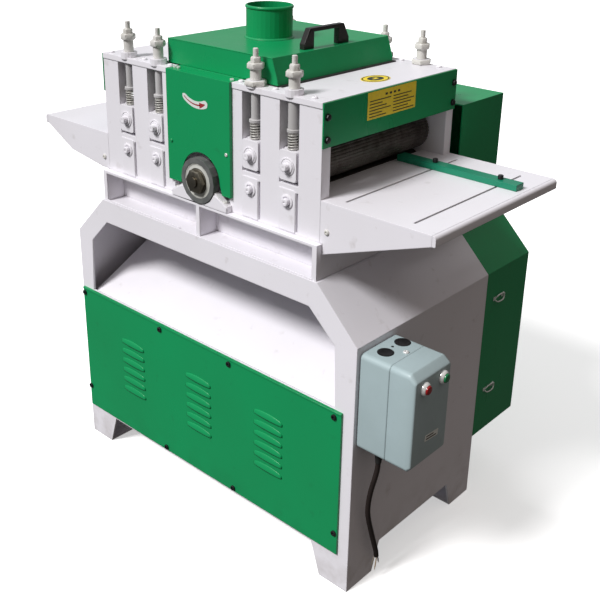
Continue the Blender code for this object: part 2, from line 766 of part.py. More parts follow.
def arbor(shop):
    """Cutter arbor in two bearings: shaft, gang of toothed discs, front nut and rear pulley."""
    for name, turn in (("front_arbor_bearing", 0.0), ("rear_arbor_bearing", 180.0)):
        bearing = smooth(shop.copy(name, shop.iron, arbor_bearing_mesh(), turn_deg=turn))
        combine(bearing, "UNION", bearing_foot)
        combine(bearing, "DIFFERENCE", bearing_bore)
    seat_y, seat_radius = 0.1700, CUTTER_BORE - JOURNAL_CLEARANCE
    shaft = [
        (NUT_TIP_Y, THREAD_RADIUS),
        (-0.2310, THREAD_RADIUS),
        (-0.2310, ARBOR_RADIUS),
        (-seat_y, ARBOR_RADIUS),
        (-seat_y, seat_radius),
        (seat_y, seat_radius),
        (seat_y, ARBOR_RADIUS),
        (SHAFT_END_Y, ARBOR_RADIUS),
    ]
    axis = (0.0, 0.0, ARBOR_Z)
    smooth(shop.piece("arbor_shaft", shop.steel, lambda bm: turned(bm, "Y", shaft), axis))

    def nut(bm):
        front_y, back_y = NUT_Y
        washer_y = BEARING_FOOT_Y - 0.0005
        flats = hexagon(NUT_FLATS, steps=SCREW_STEPS)
        washer = circle(WASHER_RADIUS, steps=SCREW_STEPS)
        bore = circle(THREAD_RADIUS + 0.0008, steps=SCREW_STEPS)
        rings = [(front_y, flats), (back_y, flats), (back_y, washer), (washer_y, washer), (washer_y, bore)]
        stack(bm, "Y", [*rings, (front_y, bore)], closed=True)

    shop.piece("arbor_nut", shop.steel, nut, axis)
    shop.piece("cutter_stack", shop.steel, cutter_stack, axis)
    smooth(shop.piece("arbor_pulley", shop.iron, arbor_pulley, axis))


def toothed(radius, teeth=12, depth=0.006):
    """Outline of a toothed disc: each tooth rises slowly and drops back sharply."""
    points = []
    for tooth in range(teeth):
        for part, drop in ((0.0, depth), (0.55, 0.0)):
            angle = 2 * math.pi * (tooth + part) / teeth
            points.append(((radius - drop) * math.cos(angle), (radius - drop) * math.sin(angle)))
    return points


def cutter_stack(bm):
    """Four toothed discs with spacers between them, bored for the arbor."""
    end_y, half_disc = 0.120, 0.002
    disc = toothed(CUTTER_RADIUS)
    bore, spacer = circle(CUTTER_BORE, steps=len(disc)), circle(SPACER_RADIUS, steps=len(disc))
    rings = [(-end_y, bore), (-end_y, spacer)]
    for y in (-0.090, -0.030, 0.030, 0.090):
        front_y, back_y = y - half_disc, y + half_disc
        rings += [(front_y, spacer), (front_y, disc), (back_y, disc), (back_y, spacer)]
    rings += [(end_y, spacer), (end_y, bore)]
    stack(bm, "Y", rings, closed=True)


def arbor_pulley(bm):
    """Flanged belt pulley with a bored hub."""
    low, high = PULLEY_Y
    radius, bore = ARBOR_PULLEY_RADIUS, ARBOR_RADIUS + GAP
    flange, wall = radius + PULLEY_FLANGE, 0.003
    profile = [
        (low, bore),
        (low, flange),
        (low + wall, flange),
        (low + wall, radius),
        (high - wall, radius),
        (high - wall, flange),
        (high, flange),
        (high, bore),
    ]
    turned(bm, "Y", profile, closed=True)


def drive(shop):
    """Main motor on the cabinet's floor, its shaft and pulley, and the belt up to the arbor."""
    axis = (0.0, 0.0, MOTOR_Z)
    floor = FLOOR_PLATE_Z + SHEET + GAP
    shaft_radius = 0.0140
    seat_radius, seat_y = shaft_radius + GAP, 0.080
    cowl_radius = MOTOR_RADIUS - 0.007
    body = [
        (-0.170, cowl_radius),
        (-0.125, cowl_radius),
        (-0.120, MOTOR_RADIUS),
        (0.130, MOTOR_RADIUS),
        (0.150, 0.060),
        (0.155, seat_radius),
        (seat_y, seat_radius),
    ]
    motor = smooth(shop.piece("main_motor", shop.motor, lambda bm: turned(bm, "Y", body), axis))

    def feet(bm):
        sole, cradle, thick, height = 0.110, 0.055, 0.012, 0.160
        right = [(sole, 0.0), (sole, thick), (cradle, thick), (cradle, height)]
        outline = right + [(-x, z) for x, z in reversed(right)]
        prism(bm, "Y", [(u, v + floor - MOTOR_Z) for u, v in outline], -0.090, 0.075)

    combine(motor, "UNION", feet)

    def rotor(bm):
        low, high = PULLEY_Y
        rim, flange, wall = MOTOR_PULLEY_RADIUS, MOTOR_PULLEY_RADIUS + PULLEY_FLANGE, 0.003
        profile = [(seat_y + 0.0005, shaft_radius), (low, shaft_radius), (low, flange), (low + wall, flange)]
        profile += [(low + wall, rim), (high - wall, rim), (high - wall, flange), (high, flange)]
        turned(bm, "Y", [*profile, (high, shaft_radius), (SHAFT_END_Y, shaft_radius)])

    smooth(shop.piece("motor_pulley", shop.iron, rotor, axis))
    smooth(shop.piece("drive_belt", shop.rubber, belt), 30.0)


def belt_outline(clearance):
    """The path round both pulleys at a clearance from their rims: two arcs joined by straight runs."""
    top, bottom = ARBOR_PULLEY_RADIUS + clearance, MOTOR_PULLEY_RADIUS + clearance
    lean = math.degrees(math.asin((bottom - top) / (ARBOR_Z - MOTOR_Z)))
    upper = arc((0.0, ARBOR_Z), top, lean, 180 - lean, 16)
    lower = arc((0.0, MOTOR_Z), bottom, 180 - lean, 360 + lean, 20)
    return upper + lower


def belt(bm):
    """Ribbed belt as a plain closed band."""
    low, high = PULLEY_Y[0] + 0.004, PULLEY_Y[1] - 0.004
    outer, inner = belt_outline(0.0095), belt_outline(0.0005)
    stack(bm, "Y", [(low, inner), (low, outer), (high, outer), (high, inner)], closed=True)


def feed_gearmotor(shop):
    """Reduction gearmotor for the feed chain: gearbox, motor barrel and an output sprocket."""
    motor = shop.piece(
        "feed_gearmotor",
        shop.motor,
        lambda bm: box(bm, (0.110, 0.200), (0.262, 0.360), (0.700, 0.790)),
    )

    def barrel(bm):
        turned(bm, "X", [(0.190, 0.040), (0.308, 0.040)], (0.311, 0.745))

    def output(bm):
        shaft, sprocket, back_y, front_y = 0.011, 0.026, 0.2500, 0.2425
        profile = [(0.280, shaft), (back_y, shaft), (back_y, sprocket), (front_y, sprocket), (front_y, shaft)]
        turned(bm, "Y", [*profile, (front_y - 0.002, shaft)], (0.155, 0.745))

    combine(motor, "UNION", barrel)
    combine(motor, "UNION", output)
    return motor


def rear_guards(shop):
    """Belt guard behind the cabinet and chain guard behind the head, both open on the machine's side."""
    front, back, wall = BASE_HALF_Y + GAP, GUARD_BACK_Y, GUARD_WALL
    belt_guard = shop.piece(
        "belt_guard",
        shop.green,
        lambda bm: prism(bm, "Y", cabinet_outline(0.0, BELT_GUARD_FOOT_Z), front, back),
    )

    def belt_space(bm):
        prism(bm, "Y", cabinet_outline(wall, BELT_GUARD_FOOT_Z + wall), front - 0.01, back - wall)

    def passage(bm):
        box(bm, (-0.300, 0.300), (CHAIN_GUARD_FRONT_Y + wall, back - wall), (0.67, 0.70))

    combine(belt_guard, "DIFFERENCE", belt_space)
    combine(belt_guard, "DIFFERENCE", passage)
    half, foot = BEAM_HALF_X, BASE_TOP_Z + GAP
    chain_guard = shop.piece(
        "chain_guard",
        shop.green,
        lambda bm: box(bm, (-half, half), (CHAIN_GUARD_FRONT_Y, back), (foot, CHAIN_GUARD_TOP_Z)),
    )

    def chain_space(bm):
        limits_y = (CHAIN_GUARD_FRONT_Y - 0.01, back - wall)
        box(bm, (wall - half, half - wall), limits_y, (foot - 0.01, CHAIN_GUARD_TOP_Z - wall))

    combine(chain_guard, "DIFFERENCE", chain_space)


# ---------------------------------------------------------------- hood


def dust_hood(shop):
    """Green extraction hood hinged along its outfeed edge, with a round port on top."""
    hinge = Vector((HOOD_HINGE_X, 0.0, HOOD_HINGE_Z))

    def shell_outline(inset, foot):
        return [
            (HOOD_LEFT_X + inset, foot),
            (HOOD_FOOT_X - inset, foot),
            (HOOD_TOP_X - inset, HOOD_TOP_Z - inset),
            (HOOD_LEFT_X + inset, HOOD_TOP_Z - inset),
        ]

    def from_hinge(build):
        def moved(bm):
            build(bm)
            bmesh.ops.transform(bm, matrix=Matrix.Translation(-hinge), verts=bm.verts)

        return moved

    def shell(bm):
        prism(bm, "Y", shell_outline(0.0, HOOD_FOOT_Z), -HOOD_HALF_Y, HOOD_HALF_Y)

    def port(bm):
        ends = [(HOOD_TOP_Z - 0.002, PORT_RADIUS), (PORT_TOP_Z, PORT_RADIUS)]
        turned(bm, "Z", ends, (PORT_X, PORT_Y), PORT_STEPS)

    def knuckle(bm):
        leaf_x = HOOD_LEFT_X + 0.001
        half_leaf = KNUCKLE_RADIUS / 2
        outline = arc((HOOD_HINGE_X, HOOD_HINGE_Z), KNUCKLE_RADIUS, 30, 330, 10)
        outline += [(leaf_x, HOOD_HINGE_Z - half_leaf), (leaf_x, HOOD_HINGE_Z + half_leaf)]
        prism(bm, "Y", outline, -0.150, 0.150)

    def inside(bm):
        half = HOOD_HALF_Y - HOOD_WALL
        prism(bm, "Y", shell_outline(HOOD_WALL, HOOD_FOOT_Z - 0.01), -half, half)

    def port_bore(bm):
        bore = PORT_RADIUS - HOOD_WALL
        turned(bm, "Z", [(HOOD_TOP_Z - 0.01, bore), (1.2, bore)], (PORT_X, PORT_Y), PORT_STEPS)

    hood = shop.piece("dust_hood", shop.green, from_hinge(shell), hinge)
    combine(hood, "UNION", from_hinge(port))
    combine(hood, "DIFFERENCE", from_hinge(inside))
    combine(hood, "DIFFERENCE", from_hinge(port_bore))
    combine(hood, "UNION", from_hinge(knuckle))
    return hood


def hood_handle(shop):
    """Black moulded grip with two broad legs, near the hood's infeed edge."""
    foot = HOOD_TOP_Z + GAP
    outline = [
        (-0.077, foot),
        (-0.048, foot),
        (-0.048, 1.1235),
        (0.030, 1.1235),
        (0.030, foot),
        (0.063, foot),
        (0.063, 1.101),
        (0.046, 1.131),
        (-0.060, 1.131),
        (-0.077, 1.101),
    ]
    shop.piece("hood_handle", shop.plastic, lambda bm: prism(bm, "X", outline, *HANDLE_X))


# ---------------------------------------------------------------- starter


def starter(shop):
    """Starter box with its cover, two buttons, and the supply cord that leaves its underside."""
    back_x = BASE_HALF_X + GAP
    rear = shop.piece("starter_box", shop.casing, lambda bm: box(bm, (back_x, BOX_SEAM_X), BOX_Y, BOX_Z))
    cord_exit = CORD_ROUTE[0]

    low, high = BOX_Z
    pocket_y = (BOX_Y[0] + BOX_WALL, BOX_Y[1] - BOX_WALL)
    pocket_z = (low + BOX_WALL, high - BOX_WALL)

    def gland(bm):
        turned(bm, "Z", [(cord_exit[2] + GAP, GLAND_RADIUS), (low + 0.002, GLAND_RADIUS)], cord_exit[:2])

    def pocket(bm):
        box(bm, (back_x + BOX_WALL, BOX_SEAM_X + 0.01), pocket_y, pocket_z)

    combine(rear, "UNION", gland)
    combine(rear, "DIFFERENCE", pocket)
    seam = BOX_SEAM_X + GAP
    top = [(BOX_FACE_X, high - 0.015), (BOX_FACE_X - 0.015, high), (seam, high)]
    outline = [(seam, low), (BOX_FACE_X - 0.010, low), (BOX_FACE_X, low + 0.012), *top]
    cover = shop.piece("starter_cover", shop.casing, lambda bm: prism(bm, "Y", outline, *BOX_Y))

    def cover_pocket(bm):
        box(bm, (seam - 0.01, BOX_FACE_X - 0.018), pocket_y, pocket_z)

    def button_bores(bm):
        for y in (STOP_Y, START_Y):
            turned(bm, "X", [(0.55, BUTTON_RADIUS + GAP), (0.60, BUTTON_RADIUS + GAP)], (y, BUTTON_Z))

    combine(cover, "DIFFERENCE", cover_pocket)
    combine(cover, "DIFFERENCE", button_bores)
    flange, neck = BUTTON_RADIUS + 0.0015, -0.0265
    profile = [(-0.0300, flange), (neck, flange), (neck, BUTTON_RADIUS), (-0.0008, BUTTON_RADIUS)]
    profile.append((0.0, BUTTON_RADIUS - 0.001))

    def button(bm):
        turned(bm, "X", profile)

    smooth(shop.piece("stop_button", shop.red, button, (BUTTON_TIP_X, STOP_Y, BUTTON_Z)))
    smooth(shop.piece("start_button", shop.button_green, button, (BUTTON_TIP_X, START_Y, BUTTON_Z)))


def smooth_route(route, count):
    """Evenly spread points along a smooth curve through the route's own points."""
    points = [Vector(point) for point in route]
    padded = [points[0], *points, points[-1]]
    fine = []
    for before, start, end, after in zip(padded, padded[1:], padded[2:], padded[3:]):
        lead, trail = (end - before) / 6, (after - start) / 6
        fine += interpolate_bezier(start, start + lead, end - trail, end, 24)[:-1]
    fine.append(points[-1])
    lengths = [0.0]
    for start, end in zip(fine, fine[1:]):
        lengths.append(lengths[-1] + (end - start).length)
    spread = []
    for number in range(count):
        target = lengths[-1] * number / (count - 1)
        index = min(sum(length < target for length in lengths), len(fine) - 1)
        index = max(index, 1)
        share = (target - lengths[index - 1]) / (lengths[index] - lengths[index - 1])
        spread.append(fine[index - 1].lerp(fine[index], share))
    return spread


def power_cord(shop):
    """Round supply cord that hangs beside the cabinet and ends cut off above the floor."""
    curve = bpy.data.curves.new("power_cord", "CURVE")
    curve.dimensions = "3D"
    curve.bevel_depth = CORD_RADIUS
    curve.bevel_resolution = 2
    curve.use_fill_caps = True
    spline = curve.splines.new("POLY")
    spline.points.add(CORD_POINTS - 1)
    for point, place_at in zip(spline.points, smooth_route(CORD_ROUTE, CORD_POINTS)):
        point.co = (*place_at, 1.0)
    curve.materials.append(shop.rubber)
    cord = bpy.data.objects.new("power_cord", curve)
    bpy.context.scene.collection.objects.link(cord)
    cord.parent = shop.frame


# ---------------------------------------------------------------- whole machine


def main():
    """Clears the scene and builds the machine."""
    for obj in list(bpy.data.objects):
        bpy.data.objects.remove(obj, do_unlink=True)
    shop = Shop()
    base_cabinet(shop)
    louvre_panel(shop)
    bed_frame(shop)
    side_plate(shop, "front_side_plate", -1)
    side_plate(shop, "rear_side_plate", 1)
    for name, limits in (("left", (-PLATE_HALF_X, -0.104)), ("right", (0.089, PLATE_HALF_X))):
        cap_bar(shop, f"cap_bar_front_{name}", limits, -1)
        cap_bar(shop, f"cap_bar_rear_{name}", limits, 1)
    feed_stations(shop)
    head_covers(shop)
    arbor_guard(shop)
    tables(shop)
    fence(shop)
    arbor(shop)
    drive(shop)
    feed_gearmotor(shop)
    rear_guards(shop)
    dust_hood(shop)
    hood_handle(shop)
    starter(shop)
    power_cord(shop)


main()
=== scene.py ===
"""Looks of a power-fed woodworking machine on a sheet-steel cabinet.

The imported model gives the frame. This file adds paint, castings, springs, threads, fasteners, louvres,
plates, marks, the supply cord, the floor, the light and the camera. Sizes are in metres. Each builder gives
its places from the machine's own centre, which stands midway between the two side plates, on the floor.
"""

from __future__ import annotations

import logging
import math
from dataclasses import dataclass, field
from enum import Enum
from typing import Callable, Iterable, Sequence

import bmesh
import bpy
from mathutils import Matrix, Vector
from mathutils.geometry import interpolate_bezier


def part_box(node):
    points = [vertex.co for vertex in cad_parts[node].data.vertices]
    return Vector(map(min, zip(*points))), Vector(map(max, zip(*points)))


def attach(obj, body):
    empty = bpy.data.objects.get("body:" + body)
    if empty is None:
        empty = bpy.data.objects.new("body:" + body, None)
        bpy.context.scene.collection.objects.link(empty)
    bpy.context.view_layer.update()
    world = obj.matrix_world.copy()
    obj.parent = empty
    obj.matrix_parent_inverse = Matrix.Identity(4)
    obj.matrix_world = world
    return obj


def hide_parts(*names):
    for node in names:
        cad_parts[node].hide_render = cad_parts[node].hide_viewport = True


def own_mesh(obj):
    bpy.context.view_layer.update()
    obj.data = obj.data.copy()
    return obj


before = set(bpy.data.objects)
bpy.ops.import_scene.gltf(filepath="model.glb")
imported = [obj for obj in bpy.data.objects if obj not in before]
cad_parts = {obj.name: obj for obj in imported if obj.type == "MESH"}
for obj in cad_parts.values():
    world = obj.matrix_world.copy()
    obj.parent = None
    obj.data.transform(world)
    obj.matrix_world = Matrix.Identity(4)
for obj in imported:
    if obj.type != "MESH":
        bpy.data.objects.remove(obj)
LOG = logging.getLogger("machine")
LIFT = 0.0002

Pair = tuple[float, float]
Triple = tuple[float, float, float]
Colour = tuple[float, float, float]


class Axis(Enum):
    """The three directions that a shape can be extruded or turned along."""

    X = 0
    Y = 1
    Z = 2

    def point(self, along: float, u: float, v: float) -> Vector:
        """The point at a distance along the axis, and at (u, v) across it."""
        places = {Axis.X: (along, u, v), Axis.Y: (u, along, v), Axis.Z: (u, v, along)}
        return Vector(places[self])


class Head(Enum):
    """The kinds of fastener head used on the machine."""

    SOCKET = "socket"
    HEXAGON = "hexagon"
    DIMPLED = "dimpled"
    DOMED = "domed"


@dataclass(frozen=True)
class Fastener:
    """A kind of screw or bolt, by what shows of it above a face."""

    head: Head
    radius: float
    height: float


PANEL_SCREW = Fastener(Head.SOCKET, 0.0062, 0.0040)
BEAM_BOLT = Fastener(Head.HEXAGON, 0.0085, 0.0080)
CAP_SCREW = Fastener(Head.DOMED, 0.0060, 0.0042)
MOUTH_SCREW = Fastener(Head.HEXAGON, 0.0058, 0.0048)
BLOCK_STUB = Fastener(Head.DIMPLED, 0.0076, 0.0012)
PEDESTAL_BOLT = Fastener(Head.HEXAGON, 0.0056, 0.0065)
GUARD_SCREW = Fastener(Head.DOMED, 0.0042, 0.0026)
LIP_SCREW = Fastener(Head.SOCKET, 0.0042, 0.0036)
FENCE_BOLT = Fastener(Head.DIMPLED, 0.0056, 0.0082)
APRON_BOLT = Fastener(Head.DOMED, 0.0062, 0.0036)
HINGE_SCREW = Fastener(Head.DOMED, 0.0036, 0.0022)
HANDLE_SCREW = Fastener(Head.SOCKET, 0.0040, 0.0030)
GEAR_BOLT = Fastener(Head.SOCKET, 0.0050, 0.0045)
BACK_SCREW = Fastener(Head.DOMED, 0.0055, 0.0032)
EARTH_SCREW = Fastener(Head.DOMED, 0.0062, 0.0036)


# ------ finishes


class Graph:
    """Lays out the shader nodes of one material."""

    def __init__(self, name: str) -> None:
        """Starts a material.

        Args:
            name: The material's name.
        """
        self.material = bpy.data.materials.new(name)
        self.material.use_nodes = True
        self.tree = self.material.node_tree
        self.surface = self.tree.nodes["Principled BSDF"]
        self.where = self.tree.nodes.new("ShaderNodeTexCoord").outputs["Object"]

    def set(self, **values: float | Colour) -> None:
        """Sets constant values on the surface's sockets; an underscore stands for a space."""
        for name, value in values.items():
            socket = self.surface.inputs[name.replace("_", " ").title().replace("Ior", "IOR")]
            socket.default_value = (*value, 1.0) if isinstance(value, tuple) else value

    def join(self, source: bpy.types.NodeSocket, node: bpy.types.Node, socket: str | int) -> None:
        """Links an output to a node's input."""
        self.tree.links.new(source, node.inputs[socket])

    def noise(
        self, scale: float, detail: float = 3.0, stretch: Triple | None = None
    ) -> bpy.types.NodeSocket:
        """A noise value.

        Args:
            scale: Cells per metre.
            detail: Octaves.
            stretch: Scale of each axis, for grain that runs one way.

        Returns:
            The noise's value output.
        """
        node = self.tree.nodes.new("ShaderNodeTexNoise")
        node.inputs["Scale"].default_value = scale
        node.inputs["Detail"].default_value = detail
        place = self.where
        if stretch is not None:
            mapping = self.tree.nodes.new("ShaderNodeMapping")
            mapping.inputs["Scale"].default_value = stretch
            self.join(place, mapping, "Vector")
            place = mapping.outputs["Vector"]
        self.join(place, node, "Vector")
        return node.outputs["Fac"]

    def remap(self, source: bpy.types.NodeSocket, span: Pair, result: Pair) -> bpy.types.NodeSocket:
        """Maps a value from one span to another, clamped.

        Args:
            source: The value to map.
            span: Its low and high ends.
            result: What those become.

        Returns:
            The mapped value's output.
        """
        node = self.tree.nodes.new("ShaderNodeMapRange")
        for name, value in zip(("From Min", "From Max", "To Min", "To Max"), (*span, *result)):
            node.inputs[name].default_value = value
        self.join(source, node, "Value")
        return node.outputs["Result"]

    def product(self, first: bpy.types.NodeSocket, second: bpy.types.NodeSocket) -> bpy.types.NodeSocket:
        """The product of two values."""
        node = self.tree.nodes.new("ShaderNodeMath")
        node.operation = "MULTIPLY"
        self.join(first, node, 0)
        self.join(second, node, 1)
        return node.outputs[0]

    def mix(
        self, share: bpy.types.NodeSocket, first: Colour | bpy.types.NodeSocket, second: Colour
    ) -> bpy.types.NodeSocket:
        """A colour between two.

        Args:
            share: How much of the second colour shows, from 0 to 1.
            first: A colour, or the output of another mix.
            second: The other colour.

        Returns:
            The mixed colour's output.
        """
        node = self.tree.nodes.new("ShaderNodeMix")
        node.data_type = "RGBA"
        if isinstance(first, tuple):
            node.inputs[6].default_value = (*first, 1.0)
        else:
            self.join(first, node, 6)
        node.inputs[7].default_value = (*second, 1.0)
        self.join(share, node, 0)
        return node.outputs[2]

    def gloss(self, pattern: bpy.types.NodeSocket, roughness: Pair) -> None:
        """Lets the roughness follow a pattern between two values."""
        self.join(self.remap(pattern, (0.3, 0.7), roughness), self.surface, "Roughness")

    def relief(self, layers: Iterable[tuple[bpy.types.NodeSocket, float, float]], edge: float) -> None:
        """Sets the surface's normal from bumps over rounded edges.

        Args:
            layers: A height value, its strength and its distance in metres, for each bump.
            edge: Radius that sharp edges look rounded to.
        """
        corner = self.tree.nodes.new("ShaderNodeBevel")
        corner.samples = 4
        corner.inputs["Radius"].default_value = edge
        normal = corner.outputs["Normal"]
        for height, strength, distance in layers:
            bump = self.tree.nodes.new("ShaderNodeBump")
            bump.inputs["Strength"].default_value = strength
            bump.inputs["Distance"].default_value = distance
            self.join(height, bump, "Height")
            self.join(normal, bump, "Normal")
            normal = bump.outputs["Normal"]
        self.join(normal, self.surface, "Normal")

    def reach_from(self, hub: Triple) -> bpy.types.NodeSocket:
        """The surface point's distance from a line through a hub, which runs across the machine."""
        offset = self.tree.nodes.new("ShaderNodeVectorMath")
        offset.operation = "SUBTRACT"
        offset.inputs[1].default_value = hub
        self.join(self.where, offset, 0)
        flat = self.tree.nodes.new("ShaderNodeVectorMath")
        flat.operation = "MULTIPLY"
        flat.inputs[1].default_value = (1.0, 0.0, 1.0)
        self.join(offset.outputs["Vector"], flat, 0)
        length = self.tree.nodes.new("ShaderNodeVectorMath")
        length.operation = "LENGTH"
        self.join(flat.outputs["Vector"], length, 0)
        return length.outputs["Value"]

    def coordinate(self, axis: Axis) -> bpy.types.NodeSocket:
        """One coordinate of the point in the frame at rest, or of the way to the sky."""
        split = self.tree.nodes.new("ShaderNodeSeparateXYZ")
        self.join(self.where, split, 0)
        return split.outputs[axis.name]


class SkyGraph(Graph):
    """Lays out the shader nodes of the sky."""

    def __init__(self, name: str) -> None:
        """Starts a world.

        Args:
            name: The world's name.
        """
        self.world = bpy.data.worlds.new(name)
        self.world.use_nodes = True
        self.tree = self.world.node_tree
        self.surface = self.tree.nodes["Background"]
        self.where = self.tree.nodes.new("ShaderNodeTexCoord").outputs["Generated"]


@dataclass(frozen=True)
class SheetPaint:
    """Sprayed paint on sheet steel: faint orange peel, uneven gloss, and grime that gathers low down."""

    name: str
    colour: Colour
    shade: Colour
    grime: Colour = (0.16, 0.13, 0.10)
    roughness: Pair = (0.30, 0.46)
    coat: float = 0.10
    edge: float = 0.0016
    peel: float = 0.10
    gloss: float = 0.35

    def make(self) -> bpy.types.Material:
        """Builds the material."""
        graph = Graph(self.name)
        cloud = graph.remap(graph.noise(2.6, 4.0), (0.35, 0.68), (0.0, 1.0))
        colour = graph.mix(cloud, self.colour, self.shade)
        specks = graph.remap(graph.noise(34.0, 5.0), (0.64, 0.80), (0.0, 0.35))
        colour = graph.mix(specks, colour, self.grime)
        low = graph.remap(graph.coordinate(Axis.Z), (0.0, 0.16), (0.55, 0.0))
        scuff = graph.remap(graph.noise(22.0, 6.0), (0.42, 0.72), (0.0, 1.0))
        colour = graph.mix(graph.product(low, scuff), colour, self.grime)
        graph.join(colour, graph.surface, "Base Color")
        smear = graph.noise(7.0, 6.0, (1.0, 1.0, 0.35))
        graph.join(graph.remap(smear, (0.32, 0.70), self.roughness), graph.surface, "Roughness")
        graph.set(coat_weight=self.coat, coat_roughness=0.18, specular_ior_level=self.gloss)
        graph.relief(
            [(graph.noise(420.0, 1.0), self.peel, 0.0003), (graph.noise(9.0, 2.0), 0.10, 0.0030)],
            self.edge,
        )
        return graph.material


@dataclass(frozen=True)
class TurnedSteel:
    """Bare or plated steel with fine tool marks across its length, oil film and stain."""

    name: str
    colour: Colour
    stain: Colour
    along: Axis = Axis.Y
    roughness: Pair = (0.22, 0.46)
    metallic: float = 1.0
    edge: float = 0.0006
    marks: float = 0.25

    def make(self) -> bpy.types.Material:
        """Builds the material."""
        graph = Graph(self.name)
        stretch = tuple(60.0 if axis is self.along else 2.0 for axis in Axis)
        lines = graph.noise(14.0, 4.0, stretch)
        patches = graph.remap(graph.noise(26.0, 6.0), (0.46, 0.74), (0.0, 0.85))
        tint = graph.mix(graph.remap(lines, (0.3, 0.7), (0.0, 0.5)), self.colour, self.stain)
        graph.join(graph.mix(patches, tint, self.stain), graph.surface, "Base Color")
        graph.gloss(lines, self.roughness)
        graph.set(metallic=self.metallic)
        graph.relief([(lines, self.marks, 0.0002), (graph.noise(300.0, 2.0), 0.08, 0.0002)], self.edge)
        return graph.material


@dataclass(frozen=True)
class Casting:
    """Rough cast metal under thin paint or oil."""

    name: str
    colour: Colour
    worn: Colour
    roughness: Pair = (0.38, 0.62)
    metallic: float = 0.4
    edge: float = 0.0012
    grain: float = 0.45
    paint: Colour | None = None
    hub: Triple = (0.0, 0.0, 0.0)
    hub_radius: float = 0.0

    def make(self) -> bpy.types.Material:
        """Builds the material."""
        graph = Graph(self.name)
        wear = graph.remap(graph.noise(48.0, 6.0), (0.45, 0.70), (0.0, 1.0))
        colour = graph.mix(wear, self.colour, self.worn)
        if self.paint is not None:
            line = (self.hub_radius, self.hub_radius + 0.0012)
            share = graph.remap(graph.reach_from(self.hub), line, (0.0, 1.0))
            colour = graph.mix(share, colour, self.paint)
        graph.join(colour, graph.surface, "Base Color")
        graph.gloss(graph.noise(30.0, 3.0), self.roughness)
        graph.set(metallic=self.metallic)
        graph.relief([(graph.noise(520.0, 3.0), self.grain, 0.0004)], self.edge)
        return graph.material


@dataclass(frozen=True)
class Moulding:
    """Moulded plastic or rubber: fine spark grain and a soft, slightly uneven sheen."""

    name: str
    colour: Colour
    shade: Colour
    roughness: Pair = (0.38, 0.52)
    edge: float = 0.0012
    grain: float = 0.12
    coat: float = 0.0

    def make(self) -> bpy.types.Material:
        """Builds the material."""
        graph = Graph(self.name)
        cloud = graph.remap(graph.noise(11.0, 4.0), (0.35, 0.70), (0.0, 1.0))
        dust = graph.remap(graph.noise(95.0, 4.0), (0.60, 0.80), (0.0, 0.6))
        colour = graph.mix(cloud, self.colour, self.shade)
        graph.join(graph.mix(dust, colour, self.shade), graph.surface, "Base Color")
        graph.gloss(graph.noise(60.0, 3.0), self.roughness)
        graph.set(coat_weight=self.coat, coat_roughness=0.08, specular_ior_level=0.35)
        graph.relief([(graph.noise(900.0, 2.0), self.grain, 0.0002)], self.edge)
        return graph.material


@dataclass(frozen=True)
class Foil:
    """Printed foil of a plate or mark, a little scuffed."""

    name: str
    colour: Colour
    scuff: Colour
    roughness: Pair = (0.28, 0.50)

    def make(self) -> bpy.types.Material:
        """Builds the material."""
        graph = Graph(self.name)
        wear = graph.remap(graph.noise(130.0, 5.0), (0.50, 0.80), (0.0, 0.7))
        graph.join(graph.mix(wear, self.colour, self.scuff), graph.surface, "Base Color")
        graph.gloss(graph.noise(40.0, 3.0), self.roughness)
        graph.relief([(graph.noise(350.0, 2.0), 0.10, 0.0001)], 0.0002)
        return graph.material


Finish = SheetPaint | TurnedSteel | Casting | Moulding | Foil

WHITE = SheetPaint(
    "white_sheet_paint", (0.83, 0.81, 0.86), (0.79, 0.77, 0.81), (0.42, 0.38, 0.36), edge=0.0024
)
GREEN = SheetPaint(
    "green_gloss_paint", (0.004, 0.300, 0.098), (0.006, 0.268, 0.088), (0.01, 0.14, 0.05), (0.26, 0.42), 0.08
)
FENCE_GREEN = SheetPaint(
    "fence_green_paint", (0.008, 0.235, 0.130), (0.006, 0.200, 0.110), (0.01, 0.12, 0.07)
)
SPRAYED = SheetPaint(
    "sprayed_fittings", (0.70, 0.685, 0.67), (0.58, 0.57, 0.52), (0.34, 0.31, 0.24), (0.30, 0.52), edge=0.0008
)
SHANK_PAINT = SheetPaint(
    "shank_paint", (0.56, 0.55, 0.56), (0.42, 0.41, 0.40), (0.26, 0.24, 0.20), (0.28, 0.46), 0.10, 0.0006
)
ROLLER_STEEL = TurnedSteel(
    "roller_steel", (0.165, 0.150, 0.136), (0.050, 0.042, 0.036), roughness=(0.34, 0.60)
)
SHAFT_STEEL = TurnedSteel("shaft_steel", (0.50, 0.49, 0.47), (0.26, 0.24, 0.21))
NUT_STEEL = TurnedSteel("oiled_nut_steel", (0.26, 0.235, 0.19), (0.10, 0.085, 0.06), roughness=(0.28, 0.50))
SPRING_STEEL = TurnedSteel(
    "spring_steel", (0.64, 0.63, 0.60), (0.44, 0.42, 0.37), Axis.Z, (0.38, 0.55), 0.45
)
BRIGHT_PLATE = TurnedSteel("bright_plate", (0.72, 0.71, 0.70), (0.50, 0.49, 0.47), Axis.X, (0.12, 0.26))
# Chrome with a painted reflection: the near-white colour and half-metallic finish stand in for the bright
# reflections of the plated bezels and screws.
CHROME_WITH_PAINTED_REFLECTION = TurnedSteel(
    "bezel_chrome_painted_reflection", (0.93, 0.93, 0.92), (0.78, 0.78, 0.77), Axis.X, (0.10, 0.22), 0.45, marks=0.1
)
